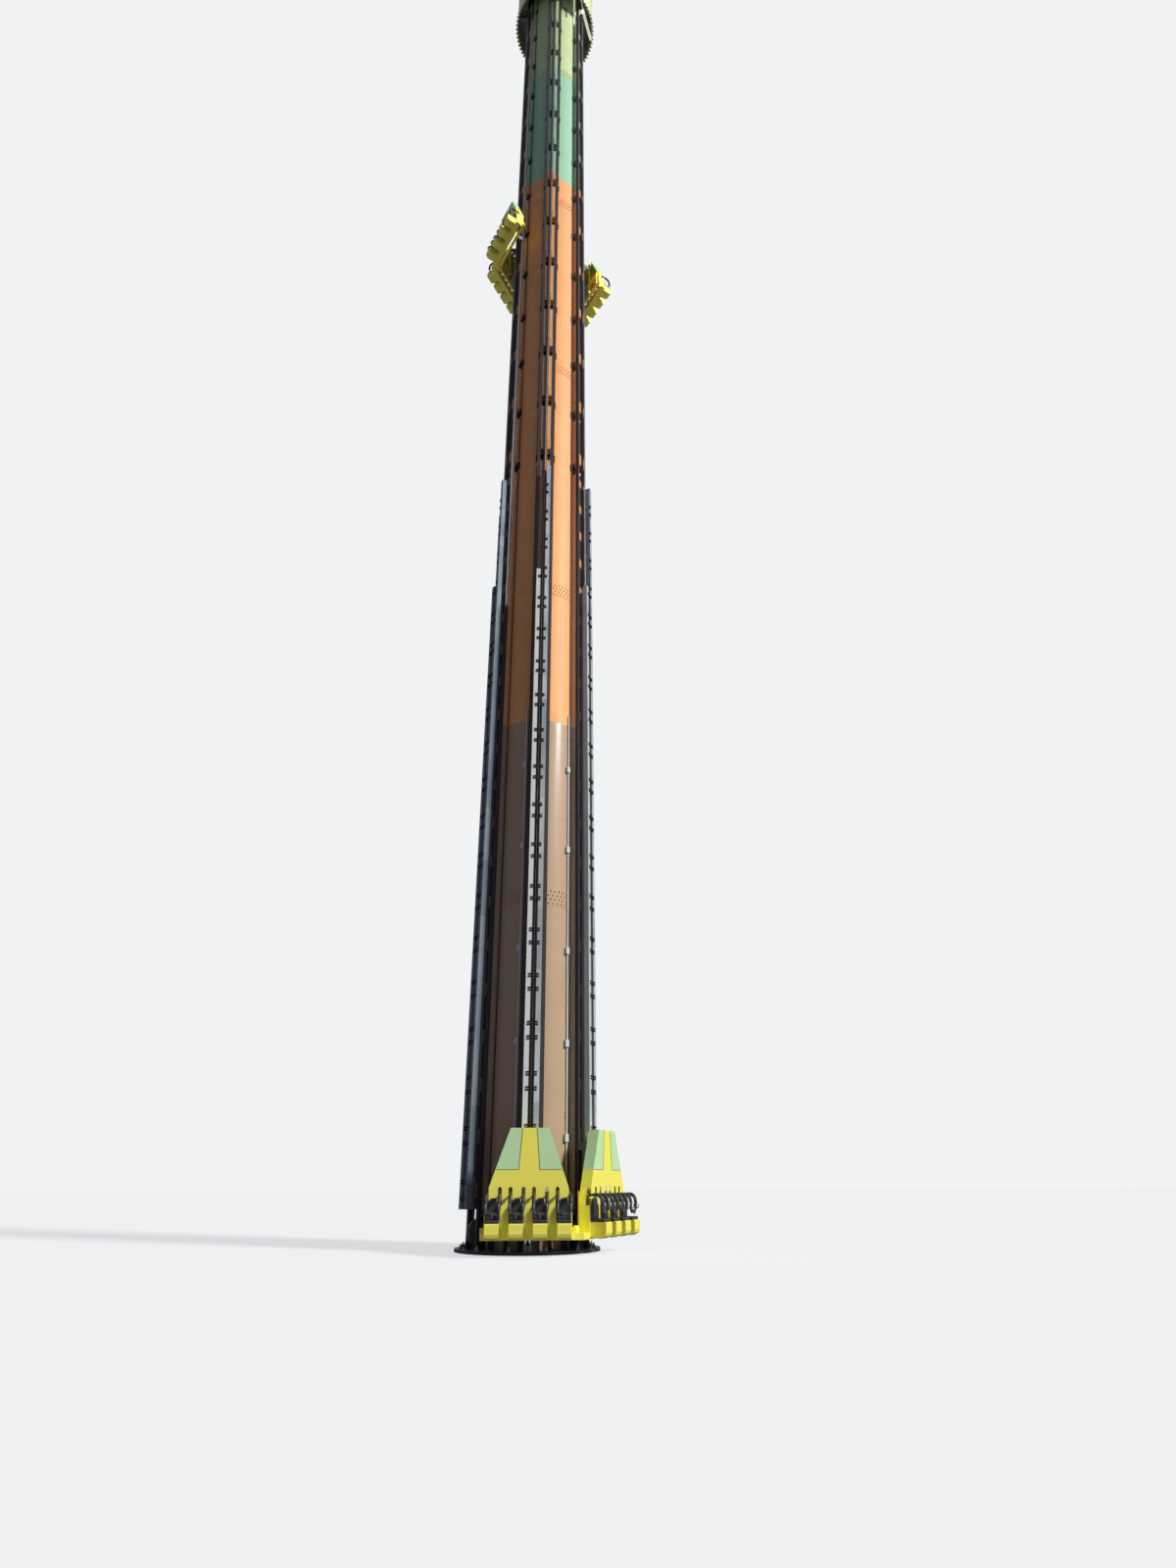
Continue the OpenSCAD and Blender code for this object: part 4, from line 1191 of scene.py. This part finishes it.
class TOWER_OT_stage(bpy.types.Operator):
    """Set up the floor, the light and the camera"""

    bl_idname = "tower.stage"
    bl_label = "Stage"

    def execute(self, context):
        self.add_camera()
        self.add_floor()
        self.add_key_light()
        self.add_surround()
        context.scene.view_settings.view_transform = "Standard"
        return {"FINISHED"}

    def add_camera(self):
        """A camera at the photograph's place and angle."""
        setup = lights()
        half_photo_px = 800.0
        data = bpy.data.cameras.new("photo_camera")
        camera = bpy.context.scene.camera = put_in_scene("photo_camera", data)
        data.sensor_fit = "VERTICAL"
        data.angle = 2 * math.atan(half_photo_px / setup.focal_px)
        data.clip_end = 400.0
        turn, pitch, roll = setup.turn, setup.pitch, setup.roll
        level = Vector((math.sin(turn), math.cos(turn), 0.0))
        right = Vector((math.cos(turn), -math.sin(turn), 0.0))
        ahead = level * math.cos(pitch) + Vector((0.0, 0.0, math.sin(pitch)))
        up = right.cross(ahead)
        across = right * math.cos(roll) - up * math.sin(roll)
        upward = right * math.sin(roll) + up * math.cos(roll)
        pose = Matrix((across, upward, -ahead)).transposed().to_4x4()
        pose.translation = Vector((0.0, -setup.eye_distance, setup.eye_height))
        camera.matrix_world = pose

    def add_floor(self):
        """A plain pale floor whose far edge meets the backdrop."""
        reach = 160.0
        corners = [(x * reach, y * reach, 0) for x, y in ((-1, -1), (1, -1), (1, 1), (-1, 1))]
        mesh = bpy.data.meshes.new("stage_floor")
        mesh.from_pydata(corners, [], [(0, 1, 2, 3)])
        mesh.materials.append(finish("floor_finish"))
        put_in_scene("stage_floor", mesh)

    def add_key_light(self):
        """A soft key light from the front right."""
        data = bpy.data.lights.new("key_light", "SUN")
        data.energy = lights().sun_power
        data.angle = math.radians(9.0)
        bearing, height = math.radians(-33.0), math.radians(34.0)
        towards = Vector((math.cos(bearing), math.sin(bearing), math.tan(height)))
        put_in_scene("key_light", data).rotation_euler = towards.to_track_quat("Z", "Y").to_euler()

    def add_surround(self):
        """An even pale surround, which metal shows in part, with a weak fill light."""
        world = bpy.context.scene.world = bpy.data.worlds.new("stage_world")
        world.use_nodes = True
        sheet = Sheet(world.node_tree)
        fill = sheet.fill(world.node_tree.nodes["Background"], Color=(0.86, 0.96, 1.55),
                          Strength=lights().fill_power)
        shown = sheet.fill(sheet.node("ShaderNodeBackground"), Color=(0.88, 0.89, 0.90),
                           Strength=1.0)
        path = sheet.node("ShaderNodeLightPath").outputs
        reflected = sheet.times(path["Is Glossy Ray"], 0.35)
        seen = sheet.math("ADD", path["Is Camera Ray"], reflected, True)
        sheet.blend_shaders(seen, fill, shown, "World Output")


class TOWER_PT_panel(bpy.types.Panel):
    """Lists the steps that dress the ride"""

    bl_label = "Drop tower"
    bl_idname = "TOWER_PT_panel"
    bl_space_type = "VIEW_3D"
    bl_region_type = "UI"
    bl_category = "Drop tower"

    def draw(self, context):
        for step in STEPS:
            self.layout.operator(step.bl_idname)


STEPS = (
    TOWER_OT_stage, TOWER_OT_column, TOWER_OT_rails, TOWER_OT_conduits, TOWER_OT_base,
    TOWER_OT_crown, TOWER_OT_hoist, TOWER_OT_bodywork, TOWER_OT_seats, TOWER_OT_harnesses,
    TOWER_OT_carriages,
)
GROUPS = {"tower_colours": TowerColours, "tower_sizes": TowerSizes, "tower_lights": TowerLights}


def register():
    for label, kind in GROUPS.items():
        bpy.utils.register_class(kind)
        setattr(bpy.types.Scene, label, PointerProperty(type=kind))
    for shown in (*STEPS, TOWER_PT_panel):
        bpy.utils.register_class(shown)


def unregister():
    for shown in (TOWER_PT_panel, *reversed(STEPS)):
        bpy.utils.unregister_class(shown)
    for label, kind in GROUPS.items():
        delattr(bpy.types.Scene, label)
        bpy.utils.unregister_class(kind)


def main():
    """Dresses the ride step by step."""
    register()
    for step in STEPS:
        area, verb = step.bl_idname.split(".")
        getattr(getattr(bpy.ops, area), verb)()


if __name__ == "__main__":
    main()
